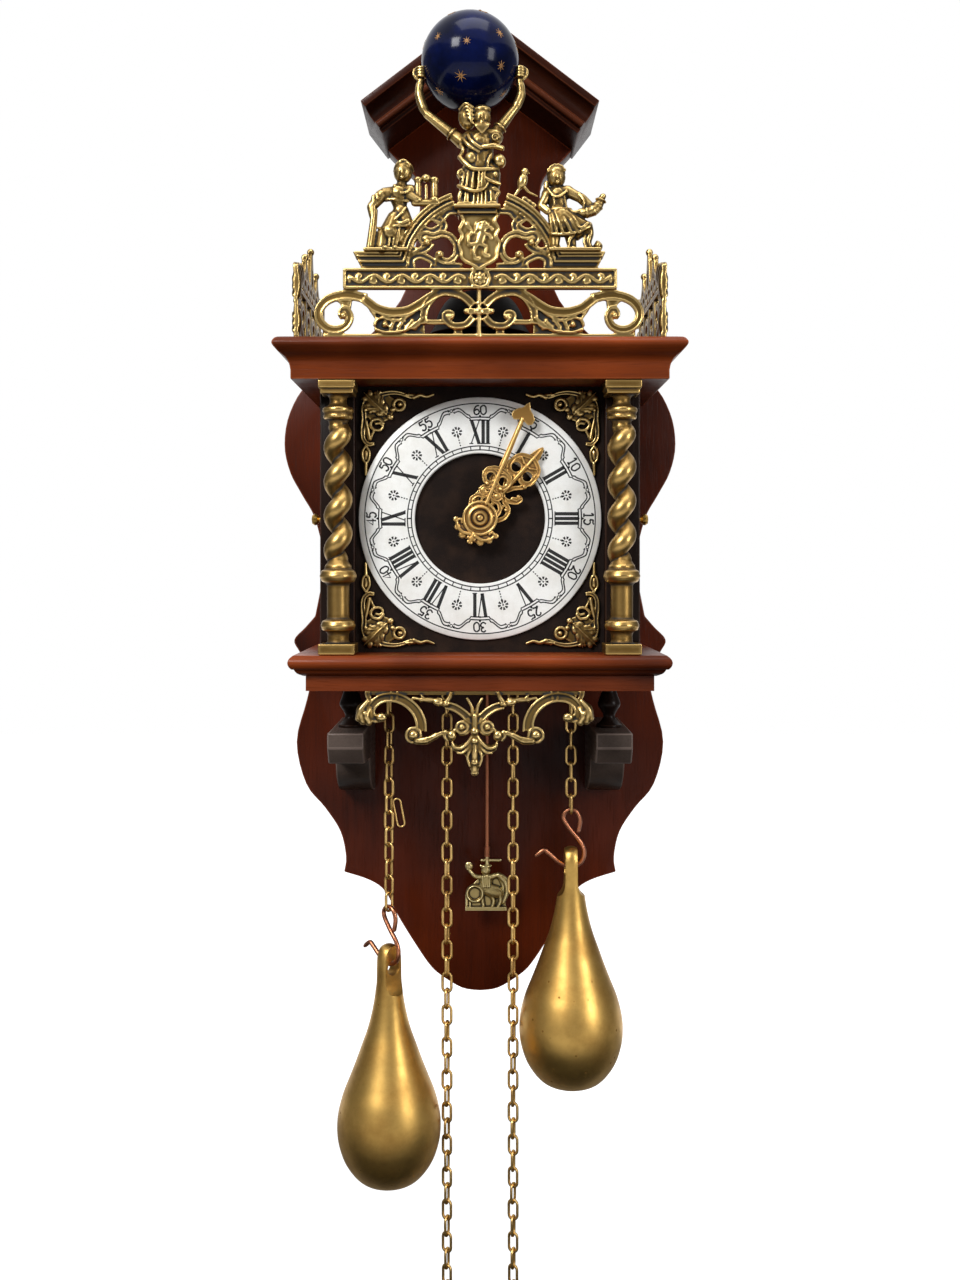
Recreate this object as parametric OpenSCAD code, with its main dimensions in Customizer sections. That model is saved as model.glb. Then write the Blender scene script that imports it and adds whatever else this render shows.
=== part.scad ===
// Weight-driven wall clock with a bracket case, twisted columns and cast brass crest.
// Lengths in millimetres. X to the right, Y towards the wall, Z up.
// The origin is the centre of the hanging hole on the wall side of the back board.
// Depths named "..._d" are measured out of the wall, so depth d lies at y = -d.

/* [Back board] */
// thickness of the board
board_t = 18; // [12:1:25]
// width of the broadest part of the board
board_w = 280; // [240:2:320]
// height of the gable apex above the hanging hole
apex_z = 79.8; // [60:1:100]
// lowest point of the board below the hanging hole
board_low = 601; // [560:1:640]
// radius of the hanging hole
hang_r = 3; // [2.5:0.1:4]

/* [Gable] */
// slope of the raked mouldings in degrees
gable_slope = 37.4; // [30:0.5:45]
// projection of the mouldings from the wall
gable_d = 66; // [50:1:80]
// width of the moulding face, square to the slope
gable_face = 23; // [18:1:30]
// half span over the eaves
gable_half = 81; // [70:1:90]

/* [Case] */
// top of the cornice, below the hanging hole
cornice_top = 158; // [150:1:170]
// underside of the cornice, below the hanging hole
cornice_low = 183.2; // [176:0.2:190]
// half width of the cornice at its top edge
cornice_half = 126; // [118:1:134]
// projection of the cornice at its top edge
cornice_d = 158; // [150:1:165]
// top of the base board, below the hanging hole
base_top = 352.4; // [345:0.2:360]
// underside of the base board, below the hanging hole
base_low = 374.7; // [368:0.2:382]
// half width of the base at its nose
base_half = 117.5; // [110:0.5:125]
// projection of the base at its nose
base_d = 150; // [142:1:156]
// half width over the case posts
case_half = 101; // [96:1:106]
// width of a front post
post_w = 22; // [18:1:26]

/* [Side doors] */
// thickness of a door
door_t = 6; // [5:0.5:8]
// width of the door stiles and rails
door_rail = 11; // [8:1:14]
// thickness of the door glass
glass_t = 1.6; // [1.2:0.2:2.4]
// gap between a door and the case
door_gap = 0.4; // [0.3:0.1:0.8]
// radius of the door pivot pins
door_pin_r = 1; // [0.8:0.1:1.5]

/* [Columns] */
// gap between a column cap and its post
column_gap = 1.7; // [1:0.1:3]
// distance of the columns from the middle
column_x = 88; // [84:0.5:92]
// depth of the column axes
column_d = 136; // [134:0.5:138]
// rise of one turn of the twist
twist_pitch = 21.2; // [16:0.1:26]
// largest radius of the twist
twist_r = 9; // [7:0.5:10]
// width of the square caps
cap_w = 23; // [20:0.5:23]

/* [Dial] */
// height of the dial centre below the hanging hole
dial_low = 267.3; // [260:0.1:275]
// outer radius of the chapter ring
ring_r = 77.2; // [70:0.1:78]
// inner radius of the chapter ring
ring_in = 41.4; // [36:0.1:46]
// depth of the back of the dial plate
dial_d = 112; // [110:0.5:114]
// angle of the minute hand, clockwise from twelve
minute_at = 23.2; // [0:0.1:360]
// angle of the hour hand, clockwise from twelve
hour_at = 41.9; // [0:0.1:360]

/* [Movement] */
// depth of the back of the rear plate
rear_plate_d = 56; // [54:1:58]
// depth of the front of the front plate
front_plate_d = 104; // [102:1:106]
// thickness of the plates
plate_t = 4; // [3:0.5:5]
// distance of the chain wheels from the middle
train_x = 41.25; // [40:0.25:44]
// running gap between an arbor and its hole
arbor_gap = 0.05; // [0.02:0.01:0.1]
// teeth of the great wheels
great_n = 72; // [60:1:84]
// tooth size of the great wheels
great_m = 1.3; // [1:0.1:1.6]
// leaves of the centre pinion
centre_leaves = 9; // [8:1:12]
// distance of the pendulum from the middle
pendulum_x = 5; // [0:0.5:10]
// height of the pendulum pivot below the hanging hole
pivot_low = 203; // [198:0.5:208]
// depth of the pendulum rod
pendulum_d = 35; // [32:0.5:38]

/* [Chains and weights] */
// depth of the chains
chain_d = 80; // [76:0.5:84]
// distance between the two strands of one chain
strand_gap = 38.5; // [34:0.5:42]
// thickness of the chain wire
link_wire = 1.55; // [1.2:0.05:2]
// outer width of a link
link_w = 7; // [6:0.1:8]
// rise from one link to the next
link_pitch = 10.8; // [9:0.1:12]
// slack between two links
link_slack = 0.12; // [0.05:0.01:0.3]
// links in the strand to the going weight
going_links = 21; // [18:1:21]
// links in the strand to the strike weight
strike_links = 15; // [12:1:15]
// links in each free strand
free_links = 45; // [30:1:46]
// upper end of every strand below the hanging hole
strand_top = 299; // [292:1:302]
// largest radius of a weight
weight_r = 34.4; // [28:0.1:34.6]
// thickness of the hook wire
hook_wire = 3.4; // [3:0.1:4]
// turn of the left weight and its hook about their chain
left_turn = 41; // [0:1:60]

/* [Bell] */
// radius of the bell mouth
bell_r = 35; // [28:1:40]
// depth of the bell centre
bell_d = 66; // [60:1:75]

/* [Hidden] */
$fn = 48;
dial_z = -dial_low;
great_r = great_n * great_m / 2;
centre_dist = great_m * (great_n + centre_leaves) / 2;
train_z = dial_z - sqrt(centre_dist * centre_dist - train_x * train_x);
great_to_centre = atan2(dial_z - train_z, train_x);
chain_r = strand_gap / 2;
arbor_r = 2.5;
core_r = 1.4;
great_arbor_r = 3;
small_arbor_r = 1.5;
going_wheel_d = 88.5;
strike_wheel_d = 68.5;
third_n = 72;
centre_wheel_m = 0.65;
third_leaves = 8;
third_dir = 110;
third_dist = centre_wheel_m * (72 + third_leaves) / 2;
third_x = third_dist * cos(third_dir);
third_z = dial_z + third_dist * sin(third_dir);
third_wheel_m = 0.6;
escape_leaves = 6;
escape_dist = third_wheel_m * (third_n + escape_leaves) / 2;
escape_x = pendulum_x;
escape_z = third_z + sqrt(pow(escape_dist, 2) - pow(escape_x - third_x, 2));
escape_dir = atan2(escape_z - third_z, escape_x - third_x);
escape_r = 14;
pivot_z = -pivot_low;
pin_leaves = 8;
pin_dir = 86;
pin_dist = great_m * (great_n + pin_leaves) / 2;
pin_x = train_x + pin_dist * cos(pin_dir);
pin_z = train_z + pin_dist * sin(pin_dir);
hammer_x = 58;
hammer_z = -222;
motion_dist = 18;
minute_z = dial_z - motion_dist;
dial_t = 3;
dial_half = case_half - post_w;
ring_t = 3;
tooth_wheel = [1.0, 1.2, 0.18, 0.081, 0.207];
tooth_leaf = [0.6, 1.35, 0.153, 0.09, 0.153];
apron_axis = -3.3;
crest_d = 143.5;
crest_t = 3;
side_fret_in = 14;
post_d = column_d - cap_w / 2 - column_gap;
post_back = post_d - 14.8;
rear_post_w = 11;
door_back = 31;
door_front = post_back - 1;
figure_y = 143.5 - crest_d;
door_pivot_x = case_half - door_t / 2;
door_pivot_d = door_back + door_t / 2;
eye_r = 5;
eye_up = 144.5;
eye_top = 159.3;
eye_t = 8.4;
hang_gap = 0.08;
pull_r = 9;
pull_wire = 1.8;

mahogany = [0.42, 0.16, 0.08];
dark_wood = [0.16, 0.10, 0.08];
old_brass = [0.62, 0.47, 0.20];
gilt = [0.85, 0.66, 0.28];
steel = [0.45, 0.45, 0.47];

// a flat outline drawn in X and Z, raised from depth d to depth d + t
module slab(d, t) {
    translate([0, -d, 0])
        rotate([90, 0, 0])
            linear_extrude(t)
                children();
}

// a round bar along the depth
module bar_y(x, z, d0, d1, r) {
    translate([x, -d0, z])
        rotate([90, 0, 0])
            cylinder(r = r, h = d1 - d0);
}

// a box from its corner depths
module box(x0, x1, d0, d1, z0, z1) {
    translate([x0, -d1, z0])
        cube([x1 - x0, d1 - d0, z1 - z0]);
}

module both_sides() {
    children();
    mirror([1, 0, 0])
        children();
}

// points of a smooth curve through the control points p
function spline_at(a, b, c, d, t) = 0.5 * ((2 * b) + (c - a) * t + (2 * a - 5 * b + 4 * c - d) * t * t
    + (3 * b - a - 3 * c + d) * t * t * t);
function spline(p, n) = [for (i = [0 : len(p) - 2], k = [0 : n - 1])
    spline_at(p[max(i - 1, 0)], p[i], p[i + 1], p[min(i + 2, len(p) - 1)], k / n), p[len(p) - 1]];
function flip(p) = [for (q = p) [-q[0], q[1]]];
function backwards(p) = [for (i = [len(p) - 1 : -1 : 0]) p[i]];
function whorl(c, r0, r1, a0, a1, n) = [for (i = [0 : n])
    let (f = i / n, r = r0 + (r1 - r0) * f, a = a0 + (a1 - a0) * f) c + r * [cos(a), sin(a)]];

// unit direction across a path p at its point i
function across(p, i) = let (d = p[min(i + 1, len(p) - 1)] - p[max(i - 1, 0)]) [-d[1], d[0]] / norm(d);

// a flat band along points p whose width runs from w0 to w1, with round ends
module band(p, w0, w1) {
    n = len(p) - 1;
    half = [for (i = [0 : n]) (w0 + (w1 - w0) * i / n) / 2];
    polygon(concat([for (i = [0 : n]) p[i] + half[i] * across(p, i)],
        backwards([for (i = [0 : n]) p[i] - half[i] * across(p, i)])));
    translate(p[0])
        circle(d = w0, $fn = 16);
    translate(p[n])
        circle(d = w1, $fn = 16);
}

module ball2(x, z, r) {
    translate([x, z])
        circle(r = r, $fn = 20);
}

module leaf2(x, z, length, width, turn) {
    translate([x, z])
        rotate(turn)
            scale([length / 2, width / 2])
                circle(r = 1, $fn = 20);
}

// a fret cast in one piece from a flat drawing
module fret(d, t) {
    slab(d, t)
        offset(delta = 0.01)
            children();
}

// one rounded limb of a cast figure
module limb(a, ra, b, rb) {
    hull() {
        translate(a)
            sphere(r = ra, $fn = 8);
        translate(b)
            sphere(r = rb, $fn = 8);
    }
}

// closed skin over rows of points, each row a ring of the same count
module skin(rows) {
    n = len(rows[0]);
    last = len(rows) - 1;
    polyhedron(points = [for (row = rows, q = row) q],
        faces = concat([[for (k = [0 : n - 1]) k]], [[for (k = [n - 1 : -1 : 0]) last * n + k]],
            [for (i = [0 : last - 1], k = [0 : n - 1]) [i * n + k, (i + 1) * n + k, i * n + (k + 1) % n]],
            [for (i = [0 : last - 1], k = [0 : n - 1]) [i * n + (k + 1) % n, (i + 1) * n + k,
                (i + 1) * n + (k + 1) % n]]));
}

// a bent wire of radius r along a path p drawn in X and Z
module wire(p, r) {
    sides = 10;
    skin([for (i = [0 : len(p) - 1]) [for (k = [0 : sides - 1])
        let (u = across(p, i) * r * cos(360 * k / sides)) [p[i][0] + u[0], -r * sin(360 * k / sides),
            p[i][1] + u[1]]]]);
}

// toothed wheel outline: n teeth of size m, one tooth pointing to angle turn
module gear2(n, m, tooth, turn) {
    r = n * m / 2;
    pitch = 360 / n;
    ring = [[r - tooth[1] * m, -tooth[4]], [r, -tooth[2]], [r + tooth[0] * m, -tooth[3]],
        [r + tooth[0] * m, tooth[3]], [r, tooth[2]], [r - tooth[1] * m, tooth[4]]];
    polygon([for (i = [0 : n - 1], q = ring) q[0] * [cos(turn + (i + q[1]) * pitch),
        sin(turn + (i + q[1]) * pitch)]]);
}

// wheel outline with a rim, a boss and four spokes
module wheel2(n, m, turn, rim, boss, spoke) {
    r = n * m / 2;
    difference() {
        gear2(n, m, tooth_wheel, turn);
        circle(r = r - rim);
    }
    circle(r = boss);
    for (a = [45, 135])
        rotate(a)
            square([2 * (r - rim) + 1, spoke], center = true);
}

/* Wooden case */
module board_outline() {
    top = gable_face / cos(gable_slope);
    rise = tan(gable_slope);
    upper = spline([[66, apex_z - top - 66 * rise], [58, -8], [45.5, -20], [43, -39], [47, -72],
        [57, -107], [88, -140], [122, -165], [136, -187], [board_w / 2, -210], [136, -230],
        [127, -247], [118, -264], [112, -295], [118, -333]], 4);
    lower = spline([[118, -333], [125, -341], [133, -350], [129, -359], [121, -374], [124, -393],
        [131.3, -423], [124.5, -453], [111, -470], [100, -487], [96, -505], [97.3, -516]], 4);
    tail = spline([[97.3, -516], [79, -522], [68, -530], [59, -547], [48, -565], [36.5, -582],
        [28, -590], [13, 2 - board_low], [0, -board_low]], 4);
    side = concat(upper, lower, tail);
    polygon(concat([[0, apex_z - top]], side, backwards(flip(side))));
}

module back_board() color(mahogany)
    difference() {
        slab(0, board_t)
            board_outline();
        box(-20, 20, -1, 2, -12, 12);
        bar_y(0, 0, -1, 14, 7);
    }

module gable_side() {
    length = gable_half / cos(gable_slope);
    front = -gable_d;
    intersection() {
        translate([0, 0, apex_z])
            rotate([0, gable_slope, 0])
                translate([-30, 0, 0])
                    rotate([90, 0, 90])
                        linear_extrude(length + 30)
                            polygon(concat([[0, 0], [front, 0], [front, -5]],
                                whorl([front, -15], 10, 10, 90, 0, 6), [[front + 8, -15]],
                                whorl([front + 8, -17.5], 2.5, 2.5, 90, 270, 6),
                                [[front + 11, -20], [front + 11, -gable_face], [0, -gable_face]]));
        translate([0, -100, -100])
            cube([200, 200, 300]);
    }
}

module gable_mouldings() color(mahogany)
    both_sides()
        gable_side();

// a moulded slab: the same edge profile runs along the front and both sides
module moulded_slab(profile, half, front) {
    intersection() {
        rotate([90, 0, 0])
            linear_extrude(front + 1)
                polygon(concat([for (q = profile) [half - q[0], q[1]]],
                    backwards([for (q = profile) [-half + q[0], q[1]]])));
        translate([-half - 1, 0, 0])
            rotate([90, 0, 90])
                linear_extrude(2 * half + 2)
                    polygon(concat([for (q = profile) [-front + q[0], q[1]]],
                        [[-board_t, profile[len(profile) - 1][1]], [-board_t, profile[0][1]]]));
    }
}

cornice_edge = concat([[6, -cornice_top]], spline([[6, -cornice_top], [2.2, -cornice_top - 1],
    [0.5, -cornice_top - 2.8], [0, -cornice_top - 4.4], [0.7, -cornice_top - 6.2],
    [3.6, -cornice_top - 9.4], [7.2, -cornice_top - 12.2], [9.2, -cornice_top - 15.6],
    [10, -cornice_top - 19.6]], 3), [[10, -cornice_low]]);

module cornice() color(mahogany)
    difference() {
        moulded_slab(cornice_edge, cornice_half, cornice_d);
        box(46, 76, 58, 72, -cornice_low - 1, -cornice_top + 1);
    }

base_edge = concat([[3, -base_top]], spline([[3, -base_top], [0.8, -base_top - 2],
    [0, -base_top - 4.5], [0.8, -base_top - 7], [2.2, -base_top - 8.5]], 3),
    [[3.4, -base_top - 8.5]], spline([[3.4, -base_top - 8.6], [5, -base_top - 11],
    [8, -base_top - 12.6], [9.2, -base_top - 13]], 3), [[9.9, -base_top - 13], [9.9, -base_low]]);

module base_board() color(mahogany)
    difference() {
        moulded_slab(base_edge, base_half, base_d);
        for (s = [-1, 1]) {
            box(s * (train_x + chain_r) - 7, s * (train_x + chain_r) + 7, chain_d - 7, chain_d + 7,
                -base_low - 1, -base_top + 1);
            box(s * (train_x - chain_r) - 7, s * (train_x - chain_r) + 7, chain_d - 7, chain_d + 7,
                -base_low - 1, -base_top + 1);
        }
        box(pendulum_x - 19, pendulum_x + 19, pendulum_d - 6, pendulum_d + 6, -base_low - 1,
            -base_top + 1);
    }

module case_posts() color(dark_wood)
    both_sides() {
        box(dial_half, case_half, post_back, post_d, -base_top, -cornice_low);
        box(case_half - rear_post_w, case_half, board_t, door_back - door_gap, -base_top, -cornice_low);
    }

module brackets() color(dark_wood)
    both_sides()
        translate([74.8, 0, 0])
            rotate([90, 0, 90])
                linear_extrude(23.6)
                    polygon(concat([[-board_t, -405.2], [-108, -405.2], [-108, -415], [-101, -425.7]],
                        [for (a = [180 : 9 : 270]) [-board_t - 2 + 41 * cos(a), -428 + 28 * sin(a)]],
                        [[-board_t, -456]]));

module bracket_balusters() color(dark_wood)
    both_sides()
        translate([86.6, -73, -405.2])
            rotate_extrude()
                polygon(concat([[0, 0], [8.6, 0], [8.6, 1.8]], spline([[7.2, 2.6], [4.8, 5.2], [3.9, 7.6],
                    [5, 10.4], [7.2, 13.8], [7.5, 16.6], [6, 20.6], [4.8, 24.4], [5.4, 27]], 3),
                    [[6.4, 28], [6.4, 30.5], [0, 30.5]]));

/* Hanging gear */
module hanger_plate() color(steel)
    difference() {
        box(-20, 20, 0, 2, -12, 12);
        bar_y(0, 0, -1, 3, hang_r);
    }

/* Side doors */
module side_door(right) {
    low = -base_top + door_gap;
    high = -cornice_low - door_gap;
    inner = case_half - door_t;
    mirror([right ? 0 : 1, 0, 0])
        difference() {
            union() {
                box(inner, case_half, door_pivot_d, door_front, low, high);
                translate([door_pivot_x, -door_pivot_d, low])
                    cylinder(r = door_t / 2, h = high - low);
            }
            box(inner - 1, case_half + 1, door_back + door_rail, door_front - door_rail,
                low + door_rail, high - door_rail);
            box(inner - 1, inner + glass_t + 1, door_back + door_rail - 3, door_front - door_rail + 3,
                low + door_rail - 3, high - door_rail + 3);
            for (z = [low - 1, high - 7])
                translate([door_pivot_x, -door_pivot_d, z])
                    cylinder(r = door_pin_r + arbor_gap, h = 8);
            translate([inner - 1, -door_front + 5.5, -dial_low])
                rotate([0, 90, 0])
                    cylinder(r = 1.2, h = door_t + 2);
        }
}

module side_door_left() color(mahogany)
    side_door(false);

module side_door_right() color(mahogany)
    side_door(true);

module door_pane(right) {
    inner = case_half - door_t + 1;
    mirror([right ? 0 : 1, 0, 0])
        box(inner, inner + glass_t, door_back + door_rail - 3, door_front - door_rail + 3,
            -base_top + door_gap + door_rail - 3, -cornice_low - door_gap - door_rail + 3);
}

module door_glass_left() color([0.8, 0.9, 0.9, 0.3])
    door_pane(false);

module door_glass_right() color([0.8, 0.9, 0.9, 0.3])
    door_pane(true);

module door_knob(right) {
    mirror([right ? 0 : 1, 0, 0])
        translate([case_half - door_t, -door_front + 5.5, -dial_low])
            rotate([0, 90, 0])
                rotate_extrude()
                    polygon([[0, 0], [1.2, 0], [1.2, door_t], [3, door_t], [3, door_t + 0.8],
                        [1.6, door_t + 1.6], [1.6, door_t + 3], [3.4, door_t + 4.4],
                        [3.8, door_t + 6], [2.8, door_t + 7.6], [0, door_t + 8.2]]);
}

module door_knob_left() color(old_brass)
    door_knob(false);

module door_knob_right() color(old_brass)
    door_knob(true);

module door_pivot_pins() color(steel)
    both_sides()
        for (z = [-base_top, -cornice_low - 6])
            translate([door_pivot_x, -door_pivot_d, z])
                cylinder(r = door_pin_r, h = 6);

/* Columns */
module turned_ends() {
    rotate_extrude()
        polygon(concat([[0, 6.5], [7.6, 6.5], [6.7, 8.2], [6.6, 14]], whorl([7.2, 18], 3.5, 3.5, -90, 90, 6),
            [[6.9, 22.2], [6.9, 43.8]], whorl([7.7, 48.4], 4, 4, -90, 90, 6),
            [[8, 53.2], [8, 55], [6.4, 57], [5, 59], [0, 59]]));
    translate([0, 0, 139])
        rotate_extrude()
            polygon([[0, 0], [5, 0], [5.6, 3], [5.8, 6], [8.6, 7], [9.2, 8.6], [8.8, 9.8], [9.4, 10.6],
                [9.7, 12.4], [8.8, 14.2], [6, 15], [5.2, 17.5], [5.6, 20.5], [7.4, 22], [9.8, 23],
                [9.8, 24.2], [0, 24.2]]);
}

// shaft of the column: a round section that circles the axis as it rises
module twist() {
    height = 84;
    steps = 66;
    sides = 14;
    eccentric = 2.8;
    translate([0, 0, 57])
        skin([for (i = [0 : steps]) [for (k = [0 : sides - 1])
            let (a = 60 + 360 * height * i / steps / twist_pitch, b = 360 * k / sides)
                [eccentric * cos(a) + (twist_r - eccentric) * cos(b),
                    eccentric * sin(a) + (twist_r - eccentric) * sin(b), height * i / steps]]]);
}

module column() {
    half = cap_w / 2;
    translate([-half, -half, 0])
        cube([cap_w, cap_w, 6.5]);
    turned_ends();
    twist();
    translate([-half, -half, 163.2])
        cube([cap_w, cap_w, base_top - cornice_low - 163.2]);
}

module column_left() color(old_brass)
    translate([-column_x, -column_d, -base_top])
        column();

module column_right() color(old_brass)
    translate([column_x, -column_d, -base_top])
        column();

/* Crest */
module scroll_half() {
    volute = [-88.9, -141.8];
    band(whorl(volute, 3, 10.6, -300, 60, 20), 2.6, 4);
    ball2(volute[0], volute[1], 3.2);
    band(spline([[-83.6, -132.6], [-74, -134], [-62, -145], [-50, -150], [-38, -146]], 5), 4, 3.4);
    band(whorl([-37, -140], 6.4, 2.4, -100, 160, 12), 3.2, 2.2);
    leaf2(-66, -136, 20, 7, -28);
    leaf2(-57, -134, 15, 6, 12);
    leaf2(-78, -149, 15, 6, 25);
    leaf2(-50, -146, 14, 5, -60);
    band(spline([[-34, -150], [-22, -141], [-12, -134], [-2, -131]], 5), 3, 3.4);
    band(whorl([-13, -145], 10, 2.2, 75, -220, 14), 3, 2);
    band([[-88.9, -154.9], [-88.9, -151]], 6, 6);
    band([[-48, -155.4], [-48, -150]], 5, 5);
}

module foliage_half() {
    band(whorl([-29, -100], 9, 3, -60, 250, 16), 3, 2);
    band(whorl([-19, -84], 6, 2.4, 200, -60, 12), 2.6, 2);
    band(spline([[-44, -114], [-36, -110], [-22, -108], [-12, -100]], 4), 3, 2.6);
    band(spline([[-25, -91], [-18, -92], [-11, -88]], 4), 2.6, 2.6);
    leaf2(-36, -89, 12, 4.6, 55);
    leaf2(-24, -112, 14, 5, 8);
    band(spline([[-29, -109], [-20, -116], [-8, -116]], 4), 2.6, 2.6);
    band([[-40, -91], [-35, -94]], 2.4, 2.4);
}

module arch_half(r0, r1, inset = 0) {
    translate([0, -119.1])
        intersection() {
            difference() {
                circle(r = r1);
                circle(r = r0);
            }
            translate([-60, inset])
                square([44 - inset, 60]);
        }
}

module shield2() {
    polygon(concat([[-12.5, -84], [0, -81.5], [12, -84]], spline([[12, -84], [12.6, -97],
        [9, -107], [0, -114.5]], 4), spline([[0, -114.5], [-9.6, -107], [-13, -97], [-12.5, -84]], 4)));
}

// small upright beast as a raised charge on the shield
module beast2() {
    leaf2(-0.5, -97, 15, 6.4, 66);
    ball2(2.6, -88.4, 3);
    band([[1.5, -93], [7, -90]], 2, 1.4);
    band([[0.5, -96], [6.5, -95.4]], 2, 1.4);
    band([[-2.6, -102], [3.6, -104.5], [2.4, -108]], 2.4, 1.6);
    band([[-3, -103], [-4.4, -109]], 2.4, 1.6);
    band(spline([[-3.6, -102], [-8.6, -100], [-6.4, -94], [-8.6, -89]], 4), 1.8, 1.2);
}

module crest_fret() color(old_brass) {
    fret(crest_d, crest_t) {
        translate([-96, -158])
            square([192, 2.9]);
        scroll_half();
        mirror([1, 0])
            scroll_half();
        ball2(0, -140.5, 4.6);
        band([[0, -156], [0, -129]], 4, 4);
        translate([-84, -128])
            square([168, 13]);
        arch_half(45.5, 52);
        mirror([1, 0])
            arch_half(45.5, 52);
        foliage_half();
        mirror([1, 0])
            foliage_half();
        shield2();
        band([[-13, -116], [-13, -106]], 3, 3);
        band([[12.6, -116], [12.6, -106]], 3, 3);
    }
    slab(crest_d + crest_t - 0.5, 2.5)
        difference() {
            translate([-83.6, -127.6])
                square([167.2, 12.2]);
            translate([-81.6, -125.6])
                square([163.2, 8.2]);
        }
    slab(crest_d + crest_t - 0.5, 2.5) {
        arch_half(49.4, 51.6, 0.4);
        mirror([1, 0])
            arch_half(49.4, 51.6, 0.4);
        arch_half(45.9, 47.4, 0.4);
        mirror([1, 0])
            arch_half(45.9, 47.4, 0.4);
    }
    translate([0, -crest_d - crest_t + 0.5, -121.5])
        rotate([90, 0, 0])
            cylinder(r1 = 6.2, r2 = 4.4, h = 3);
    slab(crest_d + crest_t - 0.5, 3)
        offset(delta = -0.5)
            shield2();
    fret(crest_d + crest_t + 2.4, 1.4)
        beast2();
    box(-16, 12.3, crest_d - 13.5, crest_d + 8.5, -82.4, -76.8);
    box(-78, -46.6, crest_d - 9.5, crest_d + 9.5, -116, -105);
    box(46, 76.8, crest_d - 9.5, crest_d + 9.5, -116, -105);
}

/* Crest figures */
module atlas_figure() color(old_brass)
    translate([0, figure_y, 0])
    difference() {
        union() {
            limb([0, -139, -36], 9.6, [0.5, -139, -50], 8.4);
            limb([-7, -139, -33], 6, [9, -139, -31], 6);
            limb([2.2, -140, -27], 4, [2.5, -141, -20], 4.6);
            limb([3, -142.5, -17], 6.6, [3, -144, -21.5], 5);
            limb([-6.6, -138, -16], 7.4, [-8, -137, -22], 5);
            limb([3, -146, -24], 3.2, [2.6, -145, -29], 2);
            limb([-11.2, -138, -34.1], 3.6, [-32.8, -137, -17.4], 2.9);
            limb([-32.8, -137, -17.4], 2.9, [-37.2, -135, 6.8], 2.7);
            limb([-37.2, -135, 6.8], 3.4, [-36.4, -132, 10.6], 3.2);
            limb([8.7, -138, -29], 3.8, [21, -137, -14.3], 2.9);
            limb([21, -137, -14.3], 2.9, [24.4, -135, 6.8], 2.7);
            limb([24.4, -135, 6.8], 3.4, [24, -132, 10.6], 3.2);
            limb([-8.5, -140, -43], 4, [10.5, -141, -42], 4.4);
            limb([-8.6, -140, -51], 4.2, [0.5, -143, -56], 5);
            limb([10, -140, -51], 4.2, [0.5, -143, -56], 5);
            limb([-5, -139, -54], 7, [-6.5, -139, -66], 6);
            limb([6, -139, -54], 7, [6.5, -139, -66], 6);
            limb([-6.5, -139, -64], 5, [-8, -140, -74.4], 3.2);
            limb([6.5, -139, -64], 5, [7.5, -140, -74.4], 3.2);
            translate([-14, -147, -76.8])
                cube([24.5, 14, 3]);
        }
        translate([-6.2, -130, 17.4])
            sphere(r = 30.9, $fn = 60);
    }

module celestial_globe() color([0.05, 0.06, 0.14])
    translate([-6.2, figure_y - 130, 17.4])
        sphere(r = 30.4);

// round of the arch that the seated figures lean on
module arch_round() {
    slab(crest_d - 0.02, crest_t + 2.1)
        translate([0, -119.1])
            circle(r = 52.02);
}

module left_figure() color(old_brass)
    translate([0, figure_y, 0])
        difference() {
            union() {
                limb([-48, -145, -56], 6.2, [-48, -145.5, -58.6], 5.6);
                limb([-48.4, -144, -53], 5.6, [-50.5, -142, -58], 5);
                limb([-49, -144, -62], 3.2, [-50, -144, -70], 5);
                limb([-59, -144, -69], 4.6, [-44, -144, -69], 4.6);
                limb([-52, -144, -70], 8, [-52, -144, -84], 7);
                limb([-60, -145, -70], 4, [-66.5, -146, -80], 3);
                limb([-66.5, -146, -80], 3, [-66, -147, -87], 2.8);
                limb([-67.6, -147, -68], 1.5, [-67.6, -147, -103.4], 1.5);
                limb([-44.5, -145, -70], 4, [-36, -147, -75], 3);
                limb([-37.8, -146, -60], 2.8, [-37.8, -146, -73], 2.8);
                limb([-28, -146, -60], 2.8, [-28, -146, -73], 2.8);
                limb([-40, -146, -75], 2.4, [-26, -146, -75], 2.4);
                limb([-32.9, -146, -59.5], 3, [-32.9, -146, -61], 3);
                limb([-53, -144, -84], 8, [-54, -144, -94], 9.4);
                limb([-48, -146, -88], 4, [-45, -147, -97], 3.6);
                limb([-59, -144, -94], 4.6, [-59.5, -145, -101.6], 3.2);
                limb([-49, -144, -94], 4.6, [-48, -145, -101.6], 3.2);
                translate([-71, -152, -105])
                    cube([27, 16, 2.4]);
            }
            arch_round();
        }

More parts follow.
